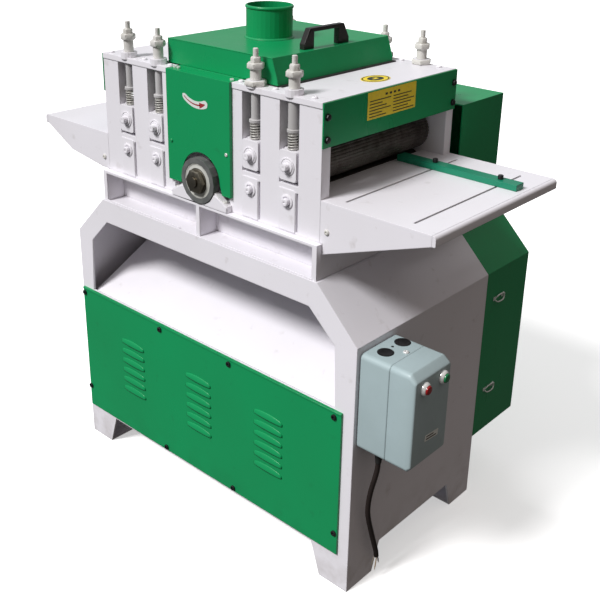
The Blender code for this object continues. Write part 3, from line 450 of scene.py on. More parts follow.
# Plated clasp steel with a painted highlight: the near-white, green-tinged colour and low metallic stand in
# for the bright glints of latches on the shaded side.
CLASP_WITH_PAINTED_HIGHLIGHT = TurnedSteel(
    "clasp_plate_painted_highlight", (0.95, 0.97, 0.96), (0.80, 0.82, 0.81), Axis.X, (0.26, 0.42), 0.55, marks=0.1
)
TOOL_STEEL = TurnedSteel("tool_steel", (0.42, 0.42, 0.43), (0.16, 0.14, 0.12))
DARK_BOLT = TurnedSteel(
    "dark_bolts", (0.035, 0.035, 0.038), (0.012, 0.012, 0.012), Axis.Z, (0.30, 0.48), 0.6
)
CAST_GREY = Casting("cast_grey", (0.115, 0.120, 0.118), (0.175, 0.180, 0.175), metallic=0.1)
BEARING_CAST = Casting(
    "bearing_casting",
    (0.115, 0.120, 0.118),
    (0.175, 0.180, 0.175),
    metallic=0.1,
    paint=(0.78, 0.76, 0.79),
    hub=(-0.00575, 0.0, 0.8150),
    hub_radius=0.0500,
)
MOTOR_BLUE = Casting(
    "motor_enamel", (0.055, 0.105, 0.16), (0.075, 0.13, 0.19), (0.30, 0.45), 0.0, 0.0015, 0.25
)
SEAL_WHITE = Moulding("seal_white", (0.62, 0.63, 0.61), (0.42, 0.42, 0.38))
GRIP_BLACK = Moulding("grip_black", (0.012, 0.011, 0.011), (0.022, 0.020, 0.019), (0.26, 0.40), 0.0024)
RUBBER = Moulding("black_rubber", (0.012, 0.012, 0.012), (0.024, 0.023, 0.022), (0.50, 0.66), 0.0008, 0.20)
CORD_BLACK = Moulding(
    "cord_jacket", (0.016, 0.011, 0.010), (0.026, 0.018, 0.016), (0.46, 0.60), 0.0008, 0.20
)
CASING = Moulding(
    "casing_blue_grey", (0.400, 0.500, 0.520), (0.370, 0.465, 0.480), (0.34, 0.50), 0.0020, 0.18, 0.10
)
RED_CAP = Moulding("red_cap", (0.42, 0.012, 0.015), (0.30, 0.010, 0.012), (0.18, 0.28), 0.0008, 0.05, 0.6)
GREEN_CAP = Moulding(
    "green_cap", (0.012, 0.22, 0.075), (0.010, 0.17, 0.06), (0.18, 0.28), 0.0008, 0.05, 0.6
)
YELLOW_FOIL = Foil("yellow_foil", (0.95, 0.72, 0.045), (0.72, 0.56, 0.08))
DARK_PRINT = Foil("dark_print", (0.030, 0.032, 0.020), (0.12, 0.10, 0.03))
WHITE_FOIL = Foil("white_foil", (0.72, 0.76, 0.74), (0.56, 0.64, 0.60))
RED_PRINT = Foil("red_print", (0.36, 0.030, 0.035), (0.24, 0.030, 0.03))
GREY_PRINT = Foil("grey_print", (0.78, 0.81, 0.77), (0.60, 0.63, 0.60))
WIRE_TAN = Moulding("conductor_tan", (0.52, 0.40, 0.27), (0.44, 0.33, 0.21), (0.40, 0.55), 0.0003)
WIRE_PALE = Moulding("conductor_pale", (0.66, 0.60, 0.50), (0.54, 0.48, 0.38), (0.40, 0.55), 0.0003)
WIRE_BROWN = Moulding("conductor_brown", (0.15, 0.08, 0.045), (0.11, 0.06, 0.035), (0.40, 0.55), 0.0003)


# ------ outlines


def polar(centre: Pair, reach: float, turn: float) -> Pair:
    """The point at a distance and an angle in radians from a centre."""
    return (centre[0] + reach * math.cos(turn), centre[1] + reach * math.sin(turn))


def circle(centre: Pair, radius: float, steps: int = 24, flats: float = 0.0) -> list[Pair]:
    """Points of a circle, or of a hexagon.

    Args:
        centre: The middle, across the axis.
        radius: The circle's radius, which a hexagon does not use.
        steps: How many points, a multiple of 6 for a hexagon.
        flats: The hexagon's size across its flats, or 0 for a circle.

    Returns:
        The points, anticlockwise.
    """
    points = []
    for step in range(steps):
        turn = 2 * math.pi * step / steps
        off = turn % (math.pi / 3) - math.pi / 6
        points.append(polar(centre, flats / 2 / math.cos(off) if flats else radius, turn))
    return points


def rounded(low: Pair, high: Pair, radii: Sequence[float], steps: int = 6) -> list[Pair]:
    """Points of a rectangle with round corners.

    Args:
        low: Its lowest corner.
        high: Its highest corner.
        radii: The radius of the high-high, low-high, low-low and high-low corner.
        steps: Spans in each corner.

    Returns:
        The points, anticlockwise, the same number whatever the radii.
    """
    hubs = (
        (high[0], high[1], -1, -1),
        (low[0], high[1], 1, -1),
        (low[0], low[1], 1, 1),
        (high[0], low[1], -1, 1),
    )
    points = []
    for quarter, ((u, v, side_u, side_v), radius) in enumerate(zip(hubs, radii)):
        for step in range(steps + 1):
            turn = math.pi / 2 * (quarter + step / steps)
            points.append(polar((u + side_u * radius, v + side_v * radius), radius, turn))
    return points


def bow(centre: Pair, radius: float, start: float, end: float, steps: int = 16) -> list[Pair]:
    """Points of an arc between two angles in degrees."""
    turns = [math.radians(start + (end - start) * step / steps) for step in range(steps + 1)]
    return [polar(centre, radius, turn) for turn in turns]


def smooth_route(route: Sequence[Triple], count: int) -> list[Vector]:
    """Evenly spread points along a smooth curve through a route's own points.

    Args:
        route: The points to pass through.
        count: How many points to return.

    Returns:
        Points at equal distances along the curve.
    """
    points = [Vector(point) for point in route]
    padded = [points[0], *points, points[-1]]
    fine = []
    for before, start, end, after in zip(padded, padded[1:], padded[2:], padded[3:]):
        lead, trail = (end - before) / 6, (after - start) / 6
        fine += interpolate_bezier(start, start + lead, end - trail, end, 24)[:-1]
    fine.append(points[-1])
    lengths = [0.0]
    for start, end in zip(fine, fine[1:]):
        lengths.append(lengths[-1] + (end - start).length)
    spread = []
    for number in range(count):
        target = lengths[-1] * number / (count - 1)
        index = max(1, min(sum(length < target for length in lengths), len(fine) - 1))
        share = (target - lengths[index - 1]) / (lengths[index] - lengths[index - 1])
        spread.append(fine[index - 1].lerp(fine[index], share))
    return spread


# ------ meshes

# Rise and radius of each edge of a head, as shares of its height and radius, and whether it is six-sided.
HEAD_PROFILES: dict[Head, tuple[tuple[float, float, bool], ...]] = {
    Head.SOCKET: (
        (0.0, 1.0, False),
        (0.86, 1.0, False),
        (1.0, 0.88, False),
        (1.0, 0.50, True),
        (0.42, 0.50, True),
        (0.38, 0.20, False),
    ),
    Head.HEXAGON: (
        (0.0, 1.25, False),
        (0.22, 1.25, False),
        (0.22, 1.02, True),
        (0.88, 1.02, True),
        (1.0, 0.88, False),
        (1.02, 0.4, False),
    ),
    Head.DIMPLED: (
        (0.0, 1.0, False),
        (0.90, 1.0, False),
        (1.0, 0.90, False),
        (1.0, 0.30, False),
        (0.86, 0.22, False),
        (0.70, 0.05, False),
    ),
    Head.DOMED: (
        (0.0, 1.0, False),
        (0.40, 0.97, False),
        (0.72, 0.80, False),
        (0.92, 0.50, False),
        (0.80, 0.34, True),
        (0.52, 0.30, True),
    ),
}


class Shape:
    """Collects the faces of one piece, in the machine's own places."""

    def __init__(self) -> None:
        """Starts an empty shape."""
        self.bm = bmesh.new()

    def loft(self, loops: Sequence[Sequence[Vector]], ring: bool = False, caps: bool = True) -> None:
        """Skins loops that have the same number of points.

        Args:
            loops: The loops in order.
            ring: Joins the last loop to the first, for a piece with a hole through it.
            caps: Closes the two ends.
        """
        rows = [[self.bm.verts.new(point) for point in loop] for loop in loops]
        pairs = list(zip(rows, rows[1:]))
        if ring:
            pairs.append((rows[-1], rows[0]))
        for lower, upper in pairs:
            for index in range(len(lower)):
                after = (index + 1) % len(lower)
                self.bm.faces.new((lower[index], lower[after], upper[after], upper[index]))
        if caps and not ring:
            self.bm.faces.new(rows[0])
            self.bm.faces.new(rows[-1])

    def skin(self, axis: Axis, edges: Iterable[tuple[float, Sequence[Pair]]], ring: bool = False) -> None:
        """Skins outlines that stand at distances along an axis."""
        self.loft([[axis.point(along, u, v) for u, v in outline] for along, outline in edges], ring=ring)

    def extrude(self, axis: Axis, outline: Sequence[Pair], low: float, high: float) -> None:
        """An outline pushed along an axis."""
        self.skin(axis, ((low, outline), (high, outline)))

    def block(self, low: Triple, high: Triple) -> None:
        """A box between two corners."""
        outline = [(low[0], low[1]), (high[0], low[1]), (high[0], high[1]), (low[0], high[1])]
        self.extrude(Axis.Z, outline, low[2], high[2])

    def turn(
        self, axis: Axis, centre: Pair, profile: Sequence[Pair], steps: int = 24, ring: bool = False
    ) -> None:
        """A round piece.

        Args:
            axis: The direction of its centre line.
            centre: Where that line is, across the axis.
            profile: Distance along the axis and radius, for each edge.
            steps: Sides.
            ring: True for a piece with a hole through it.
        """
        self.skin(axis, [(along, circle(centre, radius, steps)) for along, radius in profile], ring)

    def nut(
        self, axis: Axis, centre: Pair, flats: float, low: float, high: float, bore: float = 0.0
    ) -> None:
        """A hexagon with chamfered ends.

        Args:
            axis: The direction of its centre line.
            centre: Where that line is, across the axis.
            flats: The size across flats.
            low: Where it starts.
            high: Where it ends.
            bore: The hole's radius, or 0 for none.
        """
        cut = (high - low) * 0.14
        chamfer = flats / 2 * 0.965
        sizes = [(low, chamfer, 0.0), (low + cut, 0.0, flats), (high - cut, 0.0, flats), (high, chamfer, 0.0)]
        if bore:
            sizes = [(low, bore, 0.0), *sizes, (high, bore, 0.0)]
        edges = [(along, circle(centre, radius, 24, across)) for along, radius, across in sizes]
        self.skin(axis, edges, bool(bore))

    def screw(self, kind: Fastener, axis: Axis, centre: Pair, face: float, side: int) -> None:
        """A fastener's head standing on a face.

        Args:
            kind: The fastener.
            axis: The direction it points along.
            centre: Its centre, across the axis.
            face: Where the face is along the axis.
            side: 1 or -1, for the way it points.
        """
        edges = []
        for rise, share, six_sided in HEAD_PROFILES[kind.head]:
            flats = 2 * kind.radius * share * 0.92 if six_sided else 0.0
            outline = circle(centre, kind.radius * share, 18, flats)
            edges.append((face + side * kind.height * rise, outline))
        self.skin(axis, edges)

    def thread(
        self, axis: Axis, centre: Pair, radius: float, span: Pair, pitch: float, steps: int = 16
    ) -> None:
        """A threaded rod with one helical groove.

        Args:
            axis: The direction of its centre line.
            centre: Where that line is, across the axis.
            radius: The outer radius.
            span: Where it starts and ends along the axis.
            pitch: The rise in one turn.
            steps: Sides.
        """
        rows = max(2, math.ceil((span[1] - span[0]) / pitch * 4))
        edges = []
        for row in range(rows + 1):
            along = span[0] + (span[1] - span[0]) * row / rows
            outline = []
            for step in range(steps):
                phase = (along / pitch - step / steps) % 1.0
                reach = radius - pitch * 0.55 * abs(phase - 0.5)
                outline.append(polar(centre, reach, 2 * math.pi * step / steps))
            edges.append((along, outline))
        self.skin(axis, edges)

    def tube(self, path: Sequence[Vector], radii: Sequence[float], steps: int = 10) -> None:
        """A round bar along a path.

        Args:
            path: The centre line's points.
            radii: The radius at each point.
            steps: Sides.
        """
        side = Vector((0.0, 0.0, 1.0))
        loops = []
        for index, (point, radius) in enumerate(zip(path, radii)):
            ahead = path[min(index + 1, len(path) - 1)] - path[max(index - 1, 0)]
            ahead.normalize()
            side = side - ahead * side.dot(ahead)
            if side.length < 1e-4:
                side = ahead.orthogonal()
            side.normalize()
            other = ahead.cross(side)
            turns = [2 * math.pi * step / steps for step in range(steps)]
            loops.append([point + radius * (math.cos(t) * side + math.sin(t) * other) for t in turns])
        self.loft(loops)

    def bead(self, path: Sequence[Vector], radius: float) -> None:
        """A weld bead: a thin bar whose thickness ripples along its path."""
        points = []
        for start, end in zip(path, path[1:]):
            count = max(2, round((end - start).length / (radius * 1.1)))
            points += [start.lerp(end, step / count) for step in range(count)]
        points.append(path[-1])
        radii = [radius * (1.0 + 0.16 * math.sin(index * 2.1)) for index in range(len(points))]
        self.tube(points, radii, 6)

    def louvre(
        self, span: Pair, foot: float, height: float, face: float, depth: float, side: int = -1
    ) -> None:
        """A pressed louvre: a shallow blister, open along its foot.

        Args:
            span: Its two ends in X.
            foot: The height of its open edge.
            height: How tall it is.
            face: The sheet's outer face in Y.
            depth: How far it stands out.
            side: The way that the face looks in Y.
        """
        across, up = 20, 7
        rows = []
        for row in range(up + 1):
            v = row / up
            line = []
            for column in range(across + 1):
                u = column / across
                swell = math.sin(math.pi * u) ** 0.42
                crest = math.cos(v * math.pi / 2) ** 0.8 if v < 1.0 else 0.0
                x = span[0] + (span[1] - span[0]) * u
                rise = height * v * (0.35 + 0.65 * math.sin(math.pi * u) ** 0.5)
                y = face + side * (LIFT + depth * swell * crest)
                line.append(self.bm.verts.new((x, y, foot + rise)))
            rows.append(line)
        for lower, upper in zip(rows, rows[1:]):
            for index in range(across):
                self.bm.faces.new((lower[index], lower[index + 1], upper[index + 1], upper[index]))

    def spring(self, centre: Pair, span: Pair, coil: float, wire: float, turns: float) -> None:
        """A helical compression spring, closed at both ends.

        Args:
            centre: Its centre in X and Y.
            span: Its foot and head in Z.
            coil: The radius of the wire's centre line.
            wire: The wire's radius.
            turns: How many turns it has.
        """
        count = round(turns * 20)
        low, high = span[0] + wire, span[1] - wire
        path = []
        for index in range(count + 1):
            share = index / count
            climb = min(1.0, max(0.0, (share * turns - 0.7) / (turns - 1.4)))
            angle = 2 * math.pi * turns * share
            path.append(Vector((*polar(centre, coil, angle), low + (high - low) * climb)))
        self.tube(path, [wire] * len(path), 8)


@dataclass
class Span:
    """The limits of a CAD node, in the machine's own places."""

    low: Vector
    high: Vector

    @property
    def mid(self) -> Vector:
        """The middle of the node's box."""
        return (self.low + self.high) / 2


class Workshop:
    """Knows where the machine stands, keeps the finishes, and puts pieces on their bodies."""

    def __init__(self) -> None:
        """Finds the machine's centre from its two side plates."""
        front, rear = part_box("front_side_plate"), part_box("rear_side_plate")
        self.origin = Vector(((front[0].x + front[1].x) / 2, (front[0].y + rear[1].y) / 2, 0.0))
        self.materials: dict[str, bpy.types.Material] = {}
        self.count = 0

    def span(self, node: str) -> Span:
        """A CAD node's limits in the machine's own places."""
        low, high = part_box(node)
        return Span(low - self.origin, high - self.origin)

    def finish(self, finish: Finish) -> bpy.types.Material:
        """The material of a finish, made once."""
        if finish.name not in self.materials:
            self.materials[finish.name] = finish.make()
        return self.materials[finish.name]

    def dress(self, finish: Finish, *nodes: str) -> None:
        """Gives CAD nodes a finish.

        Args:
            finish: The finish.
            *nodes: The nodes' names.
        """
        for node in nodes:
            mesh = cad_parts[node].data
            mesh.materials.clear()
            mesh.materials.append(self.finish(finish))

    def piece(
        self,
        name: str,
        shape: Shape,
        finish: Finish,
        slot: str,
        body: str = "frame",
        edge: float = 0.0,
        smooth: float = 38.0,
        replaces: Sequence[str] = (),
    ) -> bpy.types.Object:
        """Makes a piece and lets it ride on a body.

        Args:
            name: The piece's name.
            shape: Its faces, in the machine's own places.
            finish: Its finish.
            slot: A material slot of the record, which is not used.
            body: The CAD body it rides on.
            edge: Width of the bevel on its sharp edges.
            smooth: Edges flatter than this many degrees are shaded smooth.
            replaces: CAD nodes that it stands for.

        Returns:
            The new object.
        """
        bmesh.ops.remove_doubles(shape.bm, verts=shape.bm.verts, dist=1e-7)
        bmesh.ops.recalc_face_normals(shape.bm, faces=shape.bm.faces)
        bmesh.ops.transform(shape.bm, matrix=Matrix.Translation(self.origin), verts=shape.bm.verts)
        mesh = bpy.data.meshes.new(name)
        shape.bm.to_mesh(mesh)
        shape.bm.free()
        mesh.shade_smooth()
        mesh.set_sharp_from_angle(angle=math.radians(smooth))
        mesh.materials.append(self.finish(finish))
        obj = bpy.data.objects.new(name, mesh)
        bpy.context.scene.collection.objects.link(obj)
        if edge:
            bevel = obj.modifiers.new("Bevel", "BEVEL")
            bevel.width = edge
            bevel.segments = 2
            bevel.limit_method = "ANGLE"
            bevel.angle_limit = math.radians(smooth)
        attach(obj, body)
        if replaces:
            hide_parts(*replaces)
        self.count += 1
        return obj


# ------ studio


@dataclass
class Studio:
    """Camera, floor and lights."""

    lens: float = 55.03
    place: Triple = (1.3636, -1.5408, 1.4357)
    right: Triple = (0.74406, 0.66787, 0.01794)
    up: Triple = (-0.25662, 0.26089, 0.93064)
    back: Triple = (0.61687, -0.69705, 0.36551)
    shift_down: float = 0.125
    sensor: float = 36.0
    far_limit: float = 200.0
    floor_half: float = 30.0
    floor_drop: float = 0.0004
    floor_glow: float = 0.45
    floor_tones: tuple[Colour, Colour] = ((0.93, 0.93, 0.93), (0.90, 0.90, 0.90))
    sun_from: Triple = (-0.16, -0.66, 0.73)
    sun_strength: float = 3.3
    sun_spread: float = 16.0
    sun_colour: Colour = (1.0, 0.988, 0.985)
    sky: Colour = (0.92, 0.96, 1.0)
    warm_sky: Colour = (1.0, 0.88, 0.80)

    def camera(self) -> None:
        """Sets the camera."""
        data = bpy.data.cameras.new("camera")
        data.lens = self.lens
        data.sensor_width = self.sensor
        data.shift_y = -self.shift_down
        data.clip_end = self.far_limit
        camera = bpy.data.objects.new("camera", data)
        columns = (Vector(self.right), Vector(self.up), Vector(self.back))
        turn = Matrix([[column[row] for column in columns] for row in range(3)]).to_4x4()
        camera.matrix_world = Matrix.Translation(Vector(self.place)) @ turn
        bpy.context.scene.collection.objects.link(camera)
        bpy.context.scene.camera = camera

    def floor(self) -> None:
        """Lays the pale floor."""
        bm = bmesh.new()
        bmesh.ops.create_grid(bm, x_segments=2, y_segments=2, size=self.floor_half)
        mesh = bpy.data.meshes.new("floor")
        bm.to_mesh(mesh)
        bm.free()
        floor = bpy.data.objects.new("floor", mesh)
        floor.location.z = -self.floor_drop
        graph = Graph("pale_floor")
        tone = graph.remap(graph.noise(1.2, 3.0), (0.3, 0.7), (0.0, 1.0))
        graph.join(graph.mix(tone, *self.floor_tones), graph.surface, "Base Color")
        graph.set(roughness=0.9, emission_color=(1.0, 1.0, 1.0), emission_strength=self.floor_glow)
        mesh.materials.append(graph.material)
        bpy.context.scene.collection.objects.link(floor)
        floor.visible_diffuse = False
        floor.visible_glossy = False

    def lights(self) -> None:
        """Sets a soft sun from the operator's side and a pale sky."""
        data = bpy.data.lights.new("sun", "SUN")
        data.energy = self.sun_strength
        data.angle = math.radians(self.sun_spread)
        data.color = self.sun_colour
        sun = bpy.data.objects.new("sun", data)
        sun.rotation_euler = Vector(self.sun_from).to_track_quat("Z", "Y").to_euler()
        bpy.context.scene.collection.objects.link(sun)
        self.sky_dome()

    def sky_dome(self) -> None:
        """Fills the sky: bright overhead, dim and warm towards the infeed end."""
        sky = SkyGraph("sky")
        infeed_way = sky.coordinate(Axis.X)
        rise = sky.remap(sky.coordinate(Axis.Z), (-0.2, 0.9), (0.14, 0.70))
        dim = sky.remap(infeed_way, (-0.3, 0.7), (1.0, 0.45))
        share = sky.remap(infeed_way, (-0.2, 0.6), (0.0, 1.0))
        sky.join(sky.mix(share, self.sky, self.warm_sky), sky.surface, "Color")
        sky.join(sky.product(rise, dim), sky.surface, "Strength")
        bpy.context.scene.world = sky.world
        bpy.context.scene.view_settings.view_transform = "Standard"


# ------ cord


@dataclass
class SupplyCord:
    """Cord that hangs from the starter box beside the cabinet and ends in three bare conductors."""

    route: tuple[Triple, ...] = (
        (0.4760, -0.1960, 0.3477),
        (0.4745, -0.1970, 0.3050),
        (0.4630, -0.2000, 0.2450),
        (0.4560, -0.1950, 0.1900),
        (0.4555, -0.1780, 0.1300),
        (0.4570, -0.1600, 0.0720),
        (0.4578, -0.1582, 0.0570),
    )
    points: int = 22
    radius: float = 0.0055
    lead_radii: Pair = (0.0014, 0.0008)
    boot_length: float = 0.024
    boot_radii: Pair = (0.0086, 0.0064)
    boot_rib: float = 0.0005

    def build(self, shop: Workshop) -> None:
        """Lays the cord, its boot and its conductors."""
        path = [point + shop.origin for point in smooth_route(self.route, self.points)]
        curve = bpy.data.curves.new("supply_cord", "CURVE")
        curve.dimensions = "3D"
        curve.bevel_depth = self.radius
        curve.bevel_resolution = 5
        curve.use_fill_caps = True
        spline = curve.splines.new("POLY")
        spline.points.add(len(path) - 1)
        for target, point in zip(spline.points, path):
            target.co = (*point, 1.0)
        spline.use_smooth = True
        curve.materials.append(shop.finish(CORD_BLACK))
        cord = bpy.data.objects.new("supply_cord", curve)
        bpy.context.scene.collection.objects.link(cord)
        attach(cord, "frame")
        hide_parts("power_cord")
        ends = self.conductors(shop)
        self.boot(shop)

    def conductors(self, shop: Workshop) -> list[bpy.types.Object]:
        """Three insulated conductors that stick out of the jacket's end.

        Args:
            shop: The workshop.

        Returns:
            The pieces.
        """
        end = Vector(self.route[-1])
        made = []
        leads = (
            ("conductor_1", WIRE_PALE, (-0.0022, -0.0012), (-0.0050, -0.0040, -0.0270)),
            ("conductor_2", WIRE_TAN, (0.0020, -0.0016), (0.0008, -0.0062, -0.0300)),
            ("conductor_3", WIRE_BROWN, (0.0002, 0.0024), (0.0016, 0.0040, -0.0210)),
        )
        for name, finish, (dx, dy), (ex, ey, ez) in leads:
            shape = Shape()
            start = end + Vector((dx, dy, 0.0012))
            tip = end + Vector((dx + ex, dy + ey, ez))
            middle = start.lerp(tip, 0.5) + Vector((dx, dy, 0.0)) * 0.5
            path = smooth_route([tuple(start), tuple(middle), tuple(tip)], 10)
            shape.tube(path, [self.lead_radii[0]] * 8 + [self.lead_radii[1]] * 2, 8)
            made.append(shop.piece(name, shape, finish, "cord_rubber"))
        return made

    def boot(self, shop: Workshop) -> None:
        """A tapered, ribbed boot where the cord leaves the gland."""
        path = smooth_route(self.route, 120)
        kept, travelled = [path[0] - Vector((0.0, 0.0, LIFT))], 0.0
        for start, end in zip(path, path[1:]):
            travelled += (end - start).length
            if travelled > self.boot_length:
                break
            kept.append(end)
        first, last = self.boot_radii
        radii = []
        for index in range(len(kept)):
            share = index / (len(kept) - 1)
            rib = self.boot_rib if index % 2 else 0.0
            radii.append(first - (first - last) * share - rib)
        shape = Shape()
        shape.tube(kept, radii, 20)
        shop.piece("cord_boot", shape, RUBBER, "cord_rubber")


# ------ cabinet and beam


@dataclass(frozen=True)
class LouvreField:
    """Columns of louvres that are pressed into a sheet."""

    columns: tuple[Pair, ...]
    foot: float
    pitch: float = 0.0265
    rows: int = 6
    height: float = 0.0150
    depth: float = 0.0042
    sheet: float = 0.0008

    def build(self, shop: Workshop, name: str, face: float, side: int) -> None:
        """Builds the louvres of one face.

        Args:
            shop: The workshop.
            name: The piece's name.
            face: The sheet's outer face in Y.
            side: The way that the face looks in Y.
        """
        shape = Shape()
        for column in self.columns:
            for row in range(self.rows):
                shape.louvre(column, self.foot + row * self.pitch, self.height, face, self.depth, side)
        piece = shop.piece(name, shape, GREEN, "green_paint", smooth=60.0)
        shell = piece.modifiers.new("Sheet", "SOLIDIFY")
        shell.thickness = self.sheet
        shell.offset = 0.0


@dataclass
class Cabinet:
    """Sheet-steel cabinet with its louvred panel."""

    louvres: LouvreField = LouvreField(((-0.288, -0.202), (-0.052, 0.034), (0.170, 0.256)), 0.1965)
    top_screws: tuple[float, ...] = (-0.428, -0.138, 0.094, 0.395)
    foot_screws: tuple[float, ...] = (-0.129, 0.1045)
    side_screws: tuple[Pair, ...] = ((-0.430, 0.144), (0.405, 0.138))

    def build(self, shop: Workshop) -> None:
        """Dresses the cabinet and makes its panel's louvres, fold and screws."""
        shop.dress(WHITE, "base_cabinet")
        shop.dress(GREEN, "louvre_panel")
        panel = shop.span("louvre_panel")
        self.louvres.build(shop, "panel_louvres", panel.low.y, -1)
        self.fold(shop, panel)
        self.screws(shop, panel)
        self.welds(shop)

    def fold(self, shop: Workshop, panel: Span) -> None:
        """The panel's turned-over top edge."""
        fold = Shape()
        low = (panel.low.x, panel.low.y - 0.0016, panel.high.z - 0.0050)
        high = (panel.high.x, panel.low.y - LIFT, panel.high.z - 0.0003)
        fold.block(low, high)
        shop.piece("panel_fold", fold, GREEN, "green_paint", edge=0.0007)

    def screws(self, shop: Workshop, panel: Span) -> None:
        """Dark screws round the panel's edge."""
        screws = Shape()
        places = [(x, panel.high.z - 0.014) for x in self.top_screws]
        places += [(x, panel.low.z + 0.009) for x in self.foot_screws]
        places += list(self.side_screws)
        for place in places:
            screws.screw(PANEL_SCREW, Axis.Y, place, panel.low.y - LIFT, -1)
        shop.piece("panel_screws", screws, DARK_BOLT, "zinc_plate")

    def welds(self, shop: Workshop) -> None:
        """Ground weld seams where the cabinet's end sheets meet its front and back."""
        base = shop.span("base_cabinet")
        beads = Shape()
        for x in (base.low.x + 0.0014, base.high.x - 0.0014):
            for y in (base.low.y + 0.0014, base.high.y - 0.0014):
                beads.bead([Vector((x, y, 0.012)), Vector((x, y, 0.575))], 0.0019)
        shop.piece("cabinet_welds", beads, WHITE, "white_paint", smooth=80.0)


@dataclass
class Beam:
    """Welded beam under the head, with its bolts and weld beads."""

    bolt_places: tuple[float, ...] = (-0.2950, -0.0390, 0.0534, 0.2950)
    bolt_y: float = 0.2120
    deck: float = 0.757
    web: float = 0.1845
    web_z: Pair = (0.6925, 0.7545)
    bays: tuple[Pair, ...] = ((-0.3165, -0.0125), (0.0035, 0.3165))
    lip: float = 0.2325

    def build(self, shop: Workshop) -> None:
        """Dresses the beam and adds bolts and beads."""
        shop.dress(WHITE, "bed_frame")
        beam = shop.span("bed_frame")
        bolts = Shape()
        for x in self.bolt_places:
            for y in (-self.bolt_y, self.bolt_y):
                bolts.screw(BEAM_BOLT, Axis.Z, (x, y), self.deck - LIFT, -1)
        shop.piece("beam_bolts", bolts, SPRAYED, "zinc_plate")
        beads = Shape()
        for side in (-1, 1):
            face, lip, seam = side * self.web, side * self.lip, self.deck - 0.0015
            for low_x, high_x in self.bays:
                beads.bead([Vector((low_x, face, seam)), Vector((high_x, face, seam))], 0.0017)
                for x in (low_x, high_x):
                    beads.bead([Vector((x, face, z)) for z in self.web_z], 0.0017)
            for x in (beam.low.x + 0.010, beam.high.x - 0.010):
                foot = beam.low.z + 0.0014
                beads.bead([Vector((x, lip, foot)), Vector((x * 0.2, lip, foot))], 0.0016)
        shop.piece("beam_welds", beads, WHITE, "white_paint", smooth=80.0)


# ------ head


@dataclass
class LowerBearing:
    """Cover of a lower feed roller's bearing, let into the side plate."""

    width: float = 0.0440
    top: float = 0.8525
    foot: float = 0.7655
    proud: float = 0.0014
    boss: float = 0.0150
    stub: float = 0.0080
    stub_length: float = 0.0105

    def add(self, plates: Shape, stubs: Shape, x: float, face: float, axis_z: float) -> None:
        """Adds one cover at a station of the front plate.

        Args:
            plates: Collects the covers.
            stubs: Collects the shaft stubs.
            x: The station.
            face: The plate's outer face in Y.
            axis_z: The roller's height.
        """
        low, high = (x - self.width / 2 - 0.002, self.foot), (x + self.width / 2 - 0.0030, self.top)
        outer = face - LIFT - self.proud
        plates.extrude(Axis.Y, rounded(low, high, (0.0065, 0.0005, 0.0005, 0.0005)), outer, face - LIFT)
        plates.turn(
            Axis.Y,
            (x - 0.002, axis_z),
            [
                (outer - LIFT, self.boss),
                (outer - 0.0016, self.boss),
                (outer - 0.0022, self.boss - 0.0008),
                (outer - 0.0022, 0.0105),
                (outer - 0.0010, 0.0098),
                (outer - LIFT, 0.0098),
            ],
            ring=True,
        )
        stub = Fastener(Head.DIMPLED, self.stub, self.stub_length - self.proud)
        stubs.screw(stub, Axis.Y, (x - 0.002, axis_z), outer - LIFT, -1)


